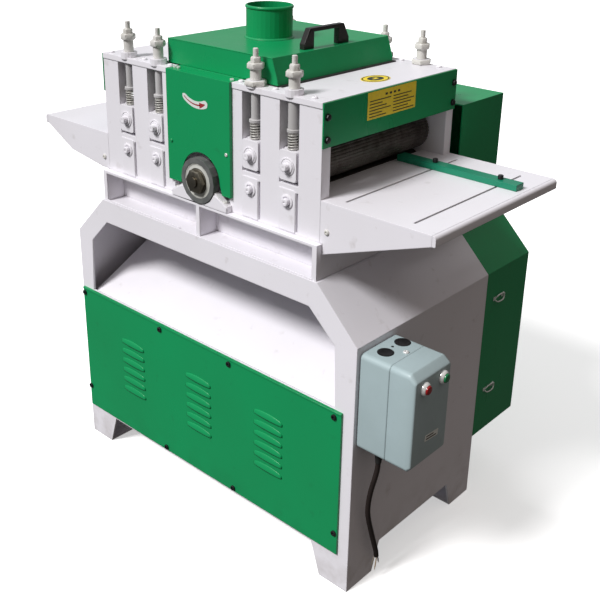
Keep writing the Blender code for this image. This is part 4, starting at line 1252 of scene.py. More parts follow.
@dataclass
class SideHead:
    """Side plates, cap bars, top covers and mouth panels, with their fasteners and plates."""

    cap_screws: tuple[float, ...] = (-0.3120, -0.1980, -0.1130, 0.0990, 0.1920, 0.2910)
    cap_screw_y: float = 0.2030
    cap_boss: float = 0.011
    panel_screw_y: float = 0.2080
    panel_screw_z: tuple[float, ...] = (0.9660, 1.0090)
    print_rows: int = 6
    plate_y: Pair = (-0.091, 0.067)
    plate_z: Pair = (0.9805, 1.0345)
    warning_at: Pair = (0.2660, 0.0120)
    warning_half: Pair = (0.0260, 0.0370)
    bearing: LowerBearing = field(default_factory=LowerBearing)

    def build(self, shop: Workshop) -> None:
        """Dresses the plates and adds covers, screws and marks."""
        shop.dress(WHITE, "front_side_plate", "rear_side_plate", "infeed_top_cover", "outfeed_top_cover")
        bars = (f"cap_bar_{side}_{end}" for side in ("front", "rear") for end in ("left", "right"))
        shop.dress(WHITE, *bars)
        shop.dress(GREEN, "infeed_guard_panel", "outfeed_guard_panel")
        self.bearing_covers(shop)
        self.small_screws(shop)
        self.panel_screws(shop)
        self.instruction_plate(shop)
        self.warning_mark(shop)

    def bearing_covers(self, shop: Workshop) -> None:
        """Covers of the lower bearings, in front and behind."""
        face, back = shop.span("front_side_plate").low.y, shop.span("rear_side_plate").high.y
        foot, top = self.bearing.foot, self.bearing.top
        plates, stubs, rear = Shape(), Shape(), Shape()
        for number in range(1, 5):
            roller = shop.span(f"lower_roller_{number}").mid
            self.bearing.add(plates, stubs, roller.x, face, roller.z)
            low, high = (roller.x - 0.024, foot), (roller.x + 0.019, top)
            outline = rounded(low, high, (0.006, 0.0005, 0.0005, 0.0005))
            hole = circle((roller.x, roller.z), 0.0125, len(outline))
            inner, outer = back + LIFT, back + self.bearing.proud
            rear.skin(Axis.Y, ((inner, hole), (inner, outline), (outer, outline), (outer, hole)), ring=True)
        shop.piece("lower_bearing_covers", plates, WHITE, "white_paint", edge=0.0004)
        shop.piece("lower_bearing_stubs", stubs, WHITE, "zinc_plate")
        shop.piece("rear_bearing_covers", rear, WHITE, "white_paint")

    def small_screws(self, shop: Workshop) -> None:
        """Cap screws that hold the bars down."""
        top = shop.span("cap_bar_front_left").high.z - self.cap_boss
        screws = Shape()
        for x in self.cap_screws:
            for y in (-self.cap_screw_y, self.cap_screw_y):
                screws.screw(CAP_SCREW, Axis.Z, (x, y), top + LIFT, 1)
        shop.piece("cap_bar_screws", screws, WHITE, "zinc_plate")

    def panel_screws(self, shop: Workshop) -> None:
        """Dark screws at both ends of the mouth panels."""
        for name, side in (("infeed", 1), ("outfeed", -1)):
            span = shop.span(f"{name}_guard_panel")
            face = span.high.x if side > 0 else span.low.x
            screws = Shape()
            for y in (-self.panel_screw_y, self.panel_screw_y):
                for z in self.panel_screw_z:
                    screws.screw(MOUTH_SCREW, Axis.X, (y, z), face + side * LIFT, side)
            shop.piece(f"{name}_panel_screws", screws, DARK_BOLT, "black_plastic")

    def instruction_plate(self, shop: Workshop) -> None:
        """A blank yellow plate with a heading bar and two columns of plain lines."""
        face = shop.span("infeed_guard_panel").high.x
        (left, right), (foot, top) = self.plate_y, self.plate_z
        plate = Shape()
        plate.extrude(Axis.X, rounded((left, foot), (right, top), [0.0015] * 4), face + LIFT, face + 0.0006)
        shop.piece("instruction_plate", plate, YELLOW_FOIL, "white_paint")
        lines = Shape()
        heads = [left + 0.055 + step * 0.0135 for step in range(4)]
        bars = [(head, head + 0.0075, top - 0.0100) for head in heads]
        middle = (left + right) / 2
        for row in range(self.print_rows):
            z = top - 0.0180 - row * 0.0062
            short = 0.014 * ((row * 5) % 3)
            bars.append((left + 0.0060, middle - 0.0050 - short, z))
            bars.append((middle + 0.0030, right - 0.0060 - 0.010 * ((row * 7 + 1) % 3), z))
        for low, high, z in bars:
            thick = 0.0042 if z > top - 0.012 else 0.0020
            lines.block((face + 0.00065, low, z - thick / 2), (face + 0.00080, high, z + thick / 2))
        shop.piece("instruction_lines", lines, DARK_PRINT, "black_plastic")

    def warning_mark(self, shop: Workshop) -> None:
        """An oval yellow mark with a dark rim and a plain dark centre."""
        top = shop.span("infeed_top_cover").high.z
        x, y = self.warning_at

        def oval(share: float) -> list[Pair]:
            """The mark's outline, shrunk to a share of its size."""
            half_x, half_y = self.warning_half
            return [(x + u * half_x * share, y + v * half_y * share) for u, v in circle((0.0, 0.0), 1.0, 32)]

        low, high = top + 0.00055, top + 0.00070
        rim, hole = oval(0.93), oval(0.84)
        base = Shape()
        base.extrude(Axis.Z, oval(1.0), top + LIFT, top + 0.0005)
        shop.piece("warning_mark", base, YELLOW_FOIL, "white_paint")
        dark = Shape()
        dark.skin(Axis.Z, ((low, hole), (low, rim), (high, rim), (high, hole)), ring=True)
        dark.extrude(Axis.Z, oval(0.56), low, high)
        shop.piece("warning_print", dark, DARK_PRINT, "black_plastic")
        spark = Shape()
        half = ((0.003, -0.016), (0.006, 0.004), (-0.001, 0.002))
        outline = [(x + side * u, y + side * v) for side in (1, -1) for u, v in half]
        spark.extrude(Axis.Z, outline, top + 0.00075, top + 0.00090)
        shop.piece("warning_centre", spark, YELLOW_FOIL, "white_paint")


@dataclass(frozen=True)
class StudSetting:
    """How far one station's studs are screwed down, which differs a little from station to station."""

    shank: float
    lock_nut: Pair
    head_top: float
    tip: float
    flats: float = 0.0305


@dataclass
class PressureGear:
    """Pressure screws, springs and sliding blocks of the four feed stations."""

    spring_coil: float = 0.0102
    spring_wire: float = 0.00140
    spring_turns: float = 7.2
    collar: float = 0.0132
    bush: float = 0.0110
    bore: float = 0.0094
    base_nut_flats: float = 0.0390
    base_nut_bore: float = 0.0184
    head_flats: float = 0.0180
    cap_boss: float = 0.011
    stub_offset: float = 0.002
    washer_depth: float = 0.0120
    settings: tuple[StudSetting, ...] = (
        StudSetting(0.0088, (1.0745, 1.0880), 1.0980, 1.1145, 0.0285),
        StudSetting(0.0088, (1.0735, 1.0865), 1.0955, 1.1120, 0.0290),
        StudSetting(0.0090, (1.0700, 1.0820), 1.0925, 1.1095),
        StudSetting(0.0112, (1.0700, 1.0820), 1.0935, 1.1100),
    )

    def build(self, shop: Workshop) -> None:
        """Builds every station's fittings."""
        for number, setting in enumerate(self.settings, 1):
            for side in ("front", "rear"):
                self.screw(shop, side, number, setting)
                self.spring(shop, side, number)
                shop.dress(WHITE, f"upper_block_{side}_{number}")
            self.block_caps(shop, number)
        self.base_nuts(shop)

    def screw(self, shop: Workshop, side: str, number: int, setting: StudSetting) -> None:
        """One pressure screw: collar and shank, then bush, lock nut, head and threaded tip.

        Args:
            shop: The workshop.
            side: "front" or "rear".
            number: The station.
            setting: Its heights.
        """
        node = f"pressure_screw_{side}_{number}"
        span = shop.span(node)
        centre = (span.mid.x, span.mid.y)
        foot, bar = span.low.z, shop.span("cap_bar_front_left")
        shank = Shape()
        profile = [(foot, self.collar - 0.0010), (foot + 0.0008, self.collar), (foot + 0.0056, self.collar)]
        profile += [(foot + 0.0065, self.collar - 0.0012), (foot + 0.0068, setting.shank)]
        profile += [(bar.low.z - 0.0020, setting.shank), (bar.low.z - 0.0015, self.bore)]
        profile.append((bar.high.z, self.bore))
        shank.turn(Axis.Z, centre, profile)
        shop.piece(f"shank_{side}_{number}", shank, SHANK_PAINT, "zinc_plate", node, replaces=[node])
        head = Shape()
        nut_foot, nut_top = setting.lock_nut
        head.turn(Axis.Z, centre, [(bar.high.z + 0.0003, self.bush), (nut_foot, self.bush)])
        head.nut(Axis.Z, centre, setting.flats, nut_foot, nut_top)
        head.nut(Axis.Z, centre, self.head_flats, nut_top, setting.head_top)
        head.turn(Axis.Z, centre, [(setting.head_top, 0.0068), (setting.head_top + 0.0006, 0.0054)])
        head.thread(Axis.Z, centre, 0.0056, (setting.head_top, setting.tip - 0.0008), 0.0018)
        head.turn(Axis.Z, centre, [(setting.tip - 0.0010, 0.0050), (setting.tip, 0.0042)])
        shop.piece(f"stud_head_{side}_{number}", head, SPRAYED, "zinc_plate", node)

    def spring(self, shop: Workshop, side: str, number: int) -> None:
        """The spring between a block and its screw's collar."""
        screw = shop.span(f"pressure_screw_{side}_{number}")
        block = shop.span(f"upper_block_{side}_{number}")
        foot, head = block.high.z + 0.0003, screw.low.z - 0.0003
        shape = Shape()
        centre = (screw.mid.x, screw.mid.y)
        shape.spring(centre, (foot, head), self.spring_coil, self.spring_wire, self.spring_turns)
        piece = shop.piece(f"spring_{side}_{number}", shape, SPRING_STEEL, "zinc_plate")
        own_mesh(piece)

    def block_caps(self, shop: Workshop, number: int) -> None:
        """The washer and dimpled stub on the front block, and the ring round the rear journal."""
        tip = shop.span(f"upper_block_front_{number}").low.y
        face = shop.span(f"upper_block_rear_{number}").high.y
        roller = shop.span(f"upper_roller_{number}").mid
        stub = (roller.x - self.stub_offset, roller.z)
        body = f"carriage_{number}"
        ring = Shape()
        steps = ((LIFT, 0.0135), (LIFT, 0.0190), (0.0008, 0.0190), (0.0008, 0.0135))
        ring.turn(Axis.Y, (roller.x, roller.z), [(face + out, radius) for out, radius in steps], ring=True)
        shop.piece(f"journal_ring_{number}", ring, SPRAYED, "zinc_plate", body)
        washer = Shape()
        steps = ((LIFT, 0.0152), (LIFT, 0.0178), (0.0012, 0.0178), (0.0018, 0.0170), (0.0018, 0.0152))
        plate = tip + self.washer_depth
        washer.turn(Axis.Y, stub, [(plate - out, radius) for out, radius in steps], ring=True)
        shop.piece(f"block_washer_{number}", washer, WHITE, "white_paint", body)
        dimple = Shape()
        dimple.screw(BLOCK_STUB, Axis.Y, stub, tip - LIFT, -1)
        shop.piece(f"block_stub_{number}", dimple, WHITE, "zinc_plate", body)

    def base_nuts(self, shop: Workshop) -> None:
        """Hexagon nuts round the bosses of the rear screws and of the third front screw."""
        nuts = Shape()
        foot = shop.span("cap_bar_front_left").high.z - self.cap_boss + LIFT
        for side, number in (("front", 3), ("rear", 1), ("rear", 2), ("rear", 3), ("rear", 4)):
            screw = shop.span(f"pressure_screw_{side}_{number}").mid
            centre = (screw.x, screw.y)
            nuts.nut(Axis.Z, centre, self.base_nut_flats, foot, foot + self.cap_boss, self.base_nut_bore)
        shop.piece("base_nuts", nuts, SPRAYED, "zinc_plate")


@dataclass
class FeedRollers:
    """Fluted upper rollers and plain lower rollers, with toothed sprockets at the back."""

    flutes: int = 40
    flute_depth: float = 0.0016
    half: float = 0.188
    upper_radii: Pair = (0.045, 0.0122)
    lower_radii: Pair = (0.024, 0.0098)
    sprocket_teeth: int = 15
    tooth: tuple[Pair, ...] = ((0.0, 0.0248), (0.28, 0.0266), (0.42, 0.0298), (0.58, 0.0298), (0.72, 0.0266))

    def build(self, shop: Workshop) -> None:
        """Builds all eight rollers."""
        for number in range(1, 5):
            for row, fluted in (("upper", True), ("lower", False)):
                self.roller(shop, row, number, fluted)

    def roller(self, shop: Workshop, row: str, number: int, fluted: bool) -> None:
        """One roller.

        Args:
            shop: The workshop.
            row: "upper" or "lower".
            number: The station.
            fluted: Whether its barrel is fluted.
        """
        node = f"{row}_roller_{number}"
        span = shop.span(node)
        centre = (span.mid.x, span.mid.z)
        radius, journal = self.upper_radii if fluted else self.lower_radii
        half, start, end = self.half, span.low.y, span.high.y
        shape = Shape()
        if fluted:
            self.barrel(shape, centre, radius - 0.0004, half)
        else:
            edge, face = radius - 0.0010, radius - 0.0002
            profile = [(-half, edge), (-half + 0.001, face), (half - 0.001, face), (half, edge)]
            shape.turn(Axis.Y, centre, profile, 40)
        shape.turn(Axis.Y, centre, [(start, journal - 0.0008), (start + 0.0008, journal), (-half, journal)])
        shape.turn(Axis.Y, centre, [(half, journal), (end - 0.0010, journal), (end, journal - 0.0010)])
        self.sprocket(shape, centre, end - 0.0145, end - 0.0065, journal + 0.0002)
        body = f"{row}_feed_roller_{number}"
        name = f"{row}_feed_barrel_{number}"
        shop.piece(name, shape, ROLLER_STEEL, "feed_steel", body, replaces=[node])

    def barrel(self, shape: Shape, centre: Pair, radius: float, half: float) -> None:
        """A barrel with straight flutes and chamfered ends."""
        outline = []
        for flute in range(self.flutes):
            for share, drop in ((0.0, 0.0), (0.48, 0.0), (0.62, 1.0), (0.86, 1.0)):
                outline.append((2 * math.pi * (flute + share) / self.flutes, drop * self.flute_depth))
        edges = []
        for along, cut in ((-half, 0.0022), (-half + 0.0020, 0.0), (half - 0.0020, 0.0), (half, 0.0022)):
            edges.append((along, [polar(centre, radius - max(drop, cut), turn) for turn, drop in outline]))
        shape.skin(Axis.Y, edges)

    def sprocket(self, shape: Shape, centre: Pair, low: float, high: float, bore: float) -> None:
        """A chain sprocket whose tooth tips lie on a 30 mm radius."""
        outline, inner = [], []
        for tooth in range(self.sprocket_teeth):
            for share, reach in self.tooth:
                turn = 2 * math.pi * (tooth + share) / self.sprocket_teeth
                outline.append(polar(centre, reach, turn))
                inner.append(polar(centre, bore, turn))
        slope = (high - low) / 3 * 0.4
        edges = ((low, inner), (low + slope, outline), (high - slope, outline), (high, inner))
        shape.skin(Axis.Y, edges, ring=True)


# ------ arbor


@dataclass
class ArborGroup:
    """Arbor, its bearings and cutter discs, and the green guard in front with its direction arrow."""

    teeth: int = 24
    tooth: tuple[Pair, ...] = ((0.0, 0.0700), (0.16, 0.0725), (0.40, 0.0772), (0.72, 0.0788), (0.94, 0.0790))
    disc_y: tuple[float, ...] = (-0.090, -0.030, 0.030, 0.090)
    spacers: tuple[Pair, ...] = (
        (-0.120, -0.092),
        (-0.088, -0.032),
        (-0.028, 0.028),
        (0.032, 0.088),
        (0.092, 0.120),
    )
    bore: float = 0.0234
    nut_bore: float = 0.0119
    pedestal_face: float = -0.2320
    pedestal_bolt: Pair = (0.0720, -0.2250)
    lip_screw_y: float = -0.2080
    guard_screws: tuple[Pair, ...] = ((-0.0900, 0.8830), (0.0780, 0.8868))
    arrow_centre: Pair = (-0.0068, 1.0369)
    arrow_radius: float = 0.0620
    arrow_steps: int = 22

    def build(self, shop: Workshop) -> None:
        """Dresses the arbor group and adds its fittings."""
        shop.dress(GREEN, "arbor_guard")
        shop.dress(BEARING_CAST, "front_arbor_bearing", "rear_arbor_bearing")
        shop.dress(NUT_STEEL, "arbor_shaft")
        shop.dress(CAST_GREY, "arbor_pulley", "motor_pulley")
        self.nut(shop)
        self.seals(shop)
        self.pedestal(shop)
        self.discs(shop)
        self.guard_fittings(shop)
        self.arrow(shop)

    def nut(self, shop: Workshop) -> None:
        """The arbor's outer nut on its washer, with a centre-drilled shaft end."""
        span, bore = shop.span("arbor_nut"), self.nut_bore
        low, high = span.low.y, span.high.y
        centre = (span.mid.x, span.mid.z)
        shape = Shape()
        shape.nut(Axis.Y, centre, 0.0458, low, low + 0.0098, bore)
        washer = [(high, bore), (high, 0.0255), (high - 0.0008, 0.0264)]
        washer += [(low + 0.0106, 0.0264), (low + 0.0100, 0.0255), (low + 0.0100, bore)]
        shape.turn(Axis.Y, centre, washer, ring=True)
        shop.piece("arbor_end_nut", shape, NUT_STEEL, "tool_steel", "arbor", replaces=["arbor_nut"])

    def seals(self, shop: Workshop) -> None:
        """Pale seal rings in the bearings' recesses."""
        centre = (0.0, shop.span("arbor_shaft").mid.z)
        for name, side in (("front", -1), ("rear", 1)):
            rim = side * 0.2352
            profile = [(side * 0.2322, 0.0272), (rim, 0.0276), (rim, 0.0300), (side * 0.2344, 0.0312)]
            profile += [(side * 0.2344, 0.0352), (rim, 0.0362), (rim, 0.0380), (side * 0.2322, 0.0382)]
            shape = Shape()
            shape.turn(Axis.Y, centre, profile, 40, ring=True)
            shop.piece(f"{name}_bearing_seal", shape, SEAL_WHITE, "cast_iron")

    def pedestal(self, shop: Workshop) -> None:
        """White-painted cheek of the front bearing's foot, with its bolts."""
        cheek = Shape()
        outline = [(-0.0845, 0.7642), (0.0845, 0.7642), (0.0845, 0.7755), (0.0560, 0.7915)]
        outline += bow((0.0, 0.815), 0.0508, -24.0, -156.0, 14)
        outline += [(-0.0560, 0.7915), (-0.0845, 0.7755)]
        cheek.extrude(Axis.Y, outline, self.pedestal_face - 0.0018, self.pedestal_face - LIFT)
        shop.piece("pedestal_cheek", cheek, WHITE, "white_paint", edge=0.0005)
        bolts = Shape()
        x, y = self.pedestal_bolt
        for place in ((-x, y), (x, y)):
            bolts.screw(PEDESTAL_BOLT, Axis.Z, place, 0.7790, 1)
        shop.piece("pedestal_bolts", bolts, SPRAYED, "zinc_plate")

    def discs(self, shop: Workshop) -> None:
        """Four toothed discs with carbide tips, and the spacers between them."""
        span = shop.span("cutter_stack")
        centre = (span.mid.x, span.mid.z)
        shape, tips = Shape(), Shape()
        for y in self.disc_y:
            outline, inner = [], []
            for tooth in range(self.teeth):
                for share, reach in self.tooth:
                    turn = 2 * math.pi * (tooth + share) / self.teeth
                    outline.append(polar(centre, reach, turn))
                    inner.append(polar(centre, self.bore, turn))
                turn = 2 * math.pi * (tooth + 0.97) / self.teeth
                lead = Matrix.Rotation(-turn, 4, "Y")
                corners = [(0.0738, -0.0018), (0.0796, -0.0020), (0.0796, 0.0004), (0.0738, 0.0004)]
                place = [lead @ Vector((u, 0.0, v)) for u, v in corners]
                tip = [(centre[0] + point.x, centre[1] + point.z) for point in place]
                tips.extrude(Axis.Y, tip, y - 0.0019, y + 0.0019)
            edges = ((y - 0.0012, inner), (y - 0.0012, outline), (y + 0.0012, outline), (y + 0.0012, inner))
            shape.skin(Axis.Y, edges, ring=True)
        for low, high in self.spacers:
            profile = [(low, self.bore), (low, 0.0385), (low + 0.0015, 0.0400), (high - 0.0015, 0.0400)]
            shape.turn(Axis.Y, centre, [*profile, (high, 0.0385), (high, self.bore)], 32, ring=True)
        shop.piece("ripping_discs", shape, TOOL_STEEL, "tool_steel", "arbor", replaces=["cutter_stack"])
        shop.piece("disc_tips", tips, SHAFT_STEEL, "tool_steel", "arbor")

    def guard_fittings(self, shop: Workshop) -> None:
        """Screws on the guard's face and on its folded top, and the fold's bright lip."""
        guard = shop.span("arbor_guard")
        screws, dull = Shape(), Shape()
        for shape, place in zip((dull, screws), self.guard_screws):
            shape.screw(GUARD_SCREW, Axis.Y, place, guard.low.y - LIFT, -1)
        shop.piece("guard_painted_screw", dull, GREEN, "green_paint")
        lip = Shape()
        lip.block((guard.low.x + 0.0005, -0.1888, 1.0335), (guard.high.x - 0.0005, -0.1790, 1.0382))
        shop.piece("guard_lip", lip, GREEN, "green_paint", edge=0.0006)
        for x in (guard.low.x + 0.010, guard.low.x + 0.021, guard.high.x - 0.010):
            screws.screw(LIP_SCREW, Axis.Z, (x, self.lip_screw_y), guard.high.z + LIFT, 1)
        # These screws take chrome whose pale colour is partly a painted reflection.
        shop.piece("guard_screws", screws, CHROME_WITH_PAINTED_REFLECTION, "zinc_plate")

    def arrow(self, shop: Workshop) -> None:
        """A curved white mark that carries a red arrow for the arbor's direction."""
        face = shop.span("arbor_guard").low.y

        def band(ends: Pair, widths: Callable[[float], float], low: float, high: float) -> Shape:
            """A curved band between two angles in degrees, whose half width changes along it."""
            outer, inner = [], []
            for step in range(self.arrow_steps + 1):
                share = step / self.arrow_steps
                turn = math.radians(ends[0] + (ends[1] - ends[0]) * share)
                for row, side in ((outer, 1), (inner, -1)):
                    row.append(polar(self.arrow_centre, self.arrow_radius + side * widths(share), turn))
            shape = Shape()
            shape.extrude(Axis.Y, outer + inner[::-1], face - high, face - low)
            return shape

        def capsule(share: float) -> float:
            """Half width of the white mark, round at both ends."""
            near = min(share, 1.0 - share) * 9.0
            return (0.0060 + 0.0026 * share) * math.sqrt(max(0.02, 1.0 - max(0.0, 1.0 - near) ** 2))

        white = band((226.0, 300.0), capsule, LIFT, 0.0005)
        shop.piece("direction_mark", white, WHITE_FOIL, "white_paint")
        line = band((231.0, 279.0), lambda share: 0.0009 + 0.0007 * share, 0.00055, 0.00070)
        shop.piece("direction_line", line, RED_PRINT, "red_button")
        head = band((277.0, 293.0), lambda share: 0.0054 * (1.0 - share) + 0.0008, 0.00055, 0.00070)
        shop.piece("direction_head", head, RED_PRINT, "red_button")


# ------ tables and fence


@dataclass
class Tables:
    """Infeed and outfeed tables with the sliding fence."""

    nosing: float = 0.0080
    nosing_height: float = 0.0210
    fence_bolt_x: Pair = (0.365, 0.520)
    bolt_recess: float = 0.0055
    apron_bolt: Triple = (0.3420, 0.2180, 0.790)

    def build(self, shop: Workshop) -> None:
        """Dresses the tables and the fence, and adds the fence's bolt caps."""
        shop.dress(WHITE, "infeed_table", "outfeed_table")
        shop.dress(FENCE_GREEN, "fence")
        self.fence_bolts(shop)
        self.table_bolts(shop)
        self.nosings(shop)

    def fence_bolts(self, shop: Workshop) -> None:
        """Black cap screws that clamp the fence through the table's slots."""
        fence = shop.span("fence")
        caps = Shape()
        for x in self.fence_bolt_x:
            caps.screw(FENCE_BOLT, Axis.Z, (x, fence.mid.y), fence.high.z - self.bolt_recess + LIFT, 1)
        shop.piece("fence_bolts", caps, DARK_BOLT, "zinc_plate", "fence")

    def nosings(self, shop: Workshop) -> None:
        """Rolled edges at the tables' outer ends."""
        for name, side in (("infeed", 1), ("outfeed", -1)):
            table = shop.span(f"{name}_table")
            end = (table.high.x if side > 0 else table.low.x) + side * LIFT
            top, reach = table.high.z - 0.0002, self.nosing
            arc = [(end + side * u, v) for u, v in bow((0.0, top - reach), reach, 90.0, 0.0, 10)]
            foot = top - self.nosing_height
            outline = [*arc, (end + side * reach, foot + 0.0020), (end + side * (reach - 0.0020), foot)]
            shape = Shape()
            shape.extrude(Axis.Y, [*outline, (end, foot)], table.low.y, table.high.y)
            shop.piece(f"{name}_nosing", shape, WHITE, "white_paint")

    def table_bolts(self, shop: Workshop) -> None:
        """Bolts that hold the tables' folded aprons to the head."""
        bolts = Shape()
        x, y, z = self.apron_bolt
        for place in ((x, z), (-x, z)):
            for side in (-1, 1):
                bolts.screw(APRON_BOLT, Axis.Y, place, side * (y + LIFT), side)
        shop.piece("apron_bolts", bolts, SPRAYED, "zinc_plate")


# ------ hood


@dataclass
class DustHood:
    """Sheet-metal hood with its port, weld beads, hinges and handle."""

    port_at: Pair = (-0.0025, -0.0170)
    port_radius: float = 0.0500
    deck: float = 1.0900
    hinge: Pair = (-0.1465, 1.0455)

    def build(self, shop: Workshop) -> None:
        """Dresses the hood and adds rims, beads and screws."""
        shop.dress(GREEN, "dust_hood")
        shop.dress(GRIP_BLACK, "hood_handle")
        self.port(shop)
        self.beads(shop)
        self.hinges(shop)
        self.handle_screws(shop)
        self.seal_strip(shop)

    def port(self, shop: Workshop) -> None:
        """Rolled rim at the port's top and the weld fillet round its foot."""
        rim = ((-0.0062, LIFT), (-0.0056, 0.0016), (-0.0030, 0.0022), (-0.0008, 0.0014))
        rim += ((0.0004, -0.0006), (0.0002, -0.0018))
        fillet = ((LIFT, LIFT), (LIFT, 0.0042), (0.0014, 0.0030), (0.0032, 0.0012), (0.0042, LIFT))
        shape = Shape()
        for level, steps in ((shop.span("dust_hood").high.z, rim), (self.deck, fillet)):
            profile = [(level + rise, self.port_radius + out) for rise, out in steps]
            shape.turn(Axis.Z, self.port_at, profile, 64, ring=True)
        shop.piece("port_rims", shape, GREEN, "green_paint", "dust_hood", smooth=70.0)

    def beads(self, shop: Workshop) -> None:
        """Weld beads along the hood's folded corners."""
        beads = Shape()
        for y in (-0.1839, 0.1839):
            route = [Vector((-0.139, y, 1.0455)), Vector((-0.139, y, 1.0895)), Vector((0.164, y, 1.0895))]
            route.append(Vector((0.1795, y, 1.0455)))
            for start, end in zip(route, route[1:]):
                beads.bead([start, end], 0.0013)
        shop.piece("hood_beads", beads, GREEN, "green_paint", "dust_hood", smooth=80.0)

    def hinges(self, shop: Workshop) -> None:
        """Hinge barrels along the hood's back edge, with leaves and screws on the cover."""
        moving, fixed, screws = Shape(), Shape(), Shape()
        x, z = self.hinge
        for centre in (-0.100, 0.100):
            knuckles = ((-0.034, -0.0125, fixed), (-0.0120, 0.0120, moving), (0.0125, 0.034, fixed))
            for start, end, home in knuckles:
                low, high = centre + start, centre + end
                profile = [(low, 0.0040), (low + 0.0006, 0.0049), (high - 0.0006, 0.0049), (high, 0.0040)]
                home.turn(Axis.Y, (x, z), profile, 20)
            fixed.block((x - 0.0250, centre - 0.034, 1.0372), (x - 0.0040, centre + 0.034, 1.0387))
            for offset in (-0.022, 0.022):
                screws.screw(HINGE_SCREW, Axis.Z, (x - 0.0180, centre + offset), 1.0389, 1)
        shop.piece("hinge_barrels", moving, BRIGHT_PLATE, "zinc_plate", "dust_hood")
        shop.piece("hinge_leaves", fixed, BRIGHT_PLATE, "zinc_plate")
        shop.piece("hinge_screws", screws, BRIGHT_PLATE, "zinc_plate")

    def handle_screws(self, shop: Workshop) -> None:
        """Small socket screws at both feet of the handle."""
        handle = shop.span("hood_handle")
        screws = Shape()
        for y in (handle.low.y + 0.014, handle.high.y - 0.014):
            screws.screw(HANDLE_SCREW, Axis.Z, (handle.mid.x, y), handle.low.z + 0.0260, 1)
        shop.piece("handle_screws", screws, DARK_BOLT, "black_plastic", "dust_hood")

    def seal_strip(self, shop: Workshop) -> None:
        """Dark seal that the hood's front edge closes on."""
        strip = Shape()
        strip.block((0.1816, -0.1840, 1.0372), (0.1915, 0.1840, 1.0392))
        shop.piece("hood_seal", strip, RUBBER, "black_plastic", edge=0.0006)


# ------ drive and rear guards


@dataclass
class Drive:
    """Main motor and feed gearmotor."""

    fins: int = 22
    fin: tuple[Pair, ...] = ((0.0, -0.0012), (0.0042, -0.0008), (0.0042, 0.0008), (0.0, 0.0012))
    body_radius: float = 0.0852
    body_span: Pair = (0.030, 0.270)

    def build(self, shop: Workshop) -> None:
        """Dresses the drive and adds the motor's fins and the gearmotor's bolts."""
        shop.dress(MOTOR_BLUE, "main_motor", "feed_gearmotor")
        self.motor_fins(shop)
        self.gearmotor_bolts(shop)

    def motor_fins(self, shop: Workshop) -> None:
        """Shallow fins round the motor's body."""
        motor = shop.span("main_motor")
        pulley = shop.span("motor_pulley").mid
        middle = Vector((pulley.x, pulley.z))
        low, high = (motor.low.y + offset for offset in self.body_span)
        shape = Shape()
        for fin in range(self.fins):
            turn = 2 * math.pi * (fin + 0.5) / self.fins
            if math.sin(turn) < -0.9:
                continue
            way = Vector((math.cos(turn), math.sin(turn)))
            across = Vector((-way.y, way.x))
            outline = [middle + way * (self.body_radius + out) + across * side for out, side in self.fin]
            shape.extrude(Axis.Y, [(point.x, point.y) for point in outline], low, high)
        shop.piece("motor_fins", shape, MOTOR_BLUE, "motor_paint")

    def gearmotor_bolts(self, shop: Workshop) -> None:
        """Bolts on the gearmotor's top face."""
        span = shop.span("feed_gearmotor")
        bolts = Shape()
        for x in (span.low.x + 0.014, span.high.x - 0.014):
            for z in (span.low.z + 0.012, span.high.z - 0.012):
                bolts.screw(GEAR_BOLT, Axis.Y, (x, z), span.high.y + LIFT, 1)
        shop.piece("gearmotor_bolts", bolts, NUT_STEEL, "zinc_plate")


@dataclass
class Hasp:
    """Sprung over-centre latch with a bent hasp, whose bright look is partly a painted highlight."""

    reach: float = 0.0240
    width: float = 0.0170
    wire: float = 0.0017

    def add(self, shapes: tuple[Shape, Shape], face: float, y: float, z: float) -> None:
        """Adds one latch on a face that looks towards +X.

        Args:
            shapes: Collect the plates and the wire loops, which are plated steel with a painted highlight.
            face: The face in X.
            y: Its centre across the machine.
            z: Its centre height.
        """
        plates, wires = shapes
        half = self.width / 2
        leaf, rise = half * 0.6, half * 0.5
        plates.block((face + LIFT, y - self.reach, z - rise), (face + 0.0016, y - 0.0120, z + rise))
        plates.block((face + LIFT, y + 0.0120, z - leaf), (face + 0.0016, y + 0.0230, z + leaf))
        plates.block((face + 0.0017, y + 0.0150, z - rise), (face + 0.0070, y + 0.0180, z + rise))
        for side in (-half, half):
            route = (
                (face + 0.0040, y - 0.0180, z + side * 0.4),
                (face + 0.0062, y - 0.0100, z + side),
                (face + 0.0070, y + 0.0100, z + side),
                (face + 0.0046, y + 0.0195, z + side * 0.3),
            )
            wires.tube(smooth_route(route, 14), [self.wire] * 14, 10)


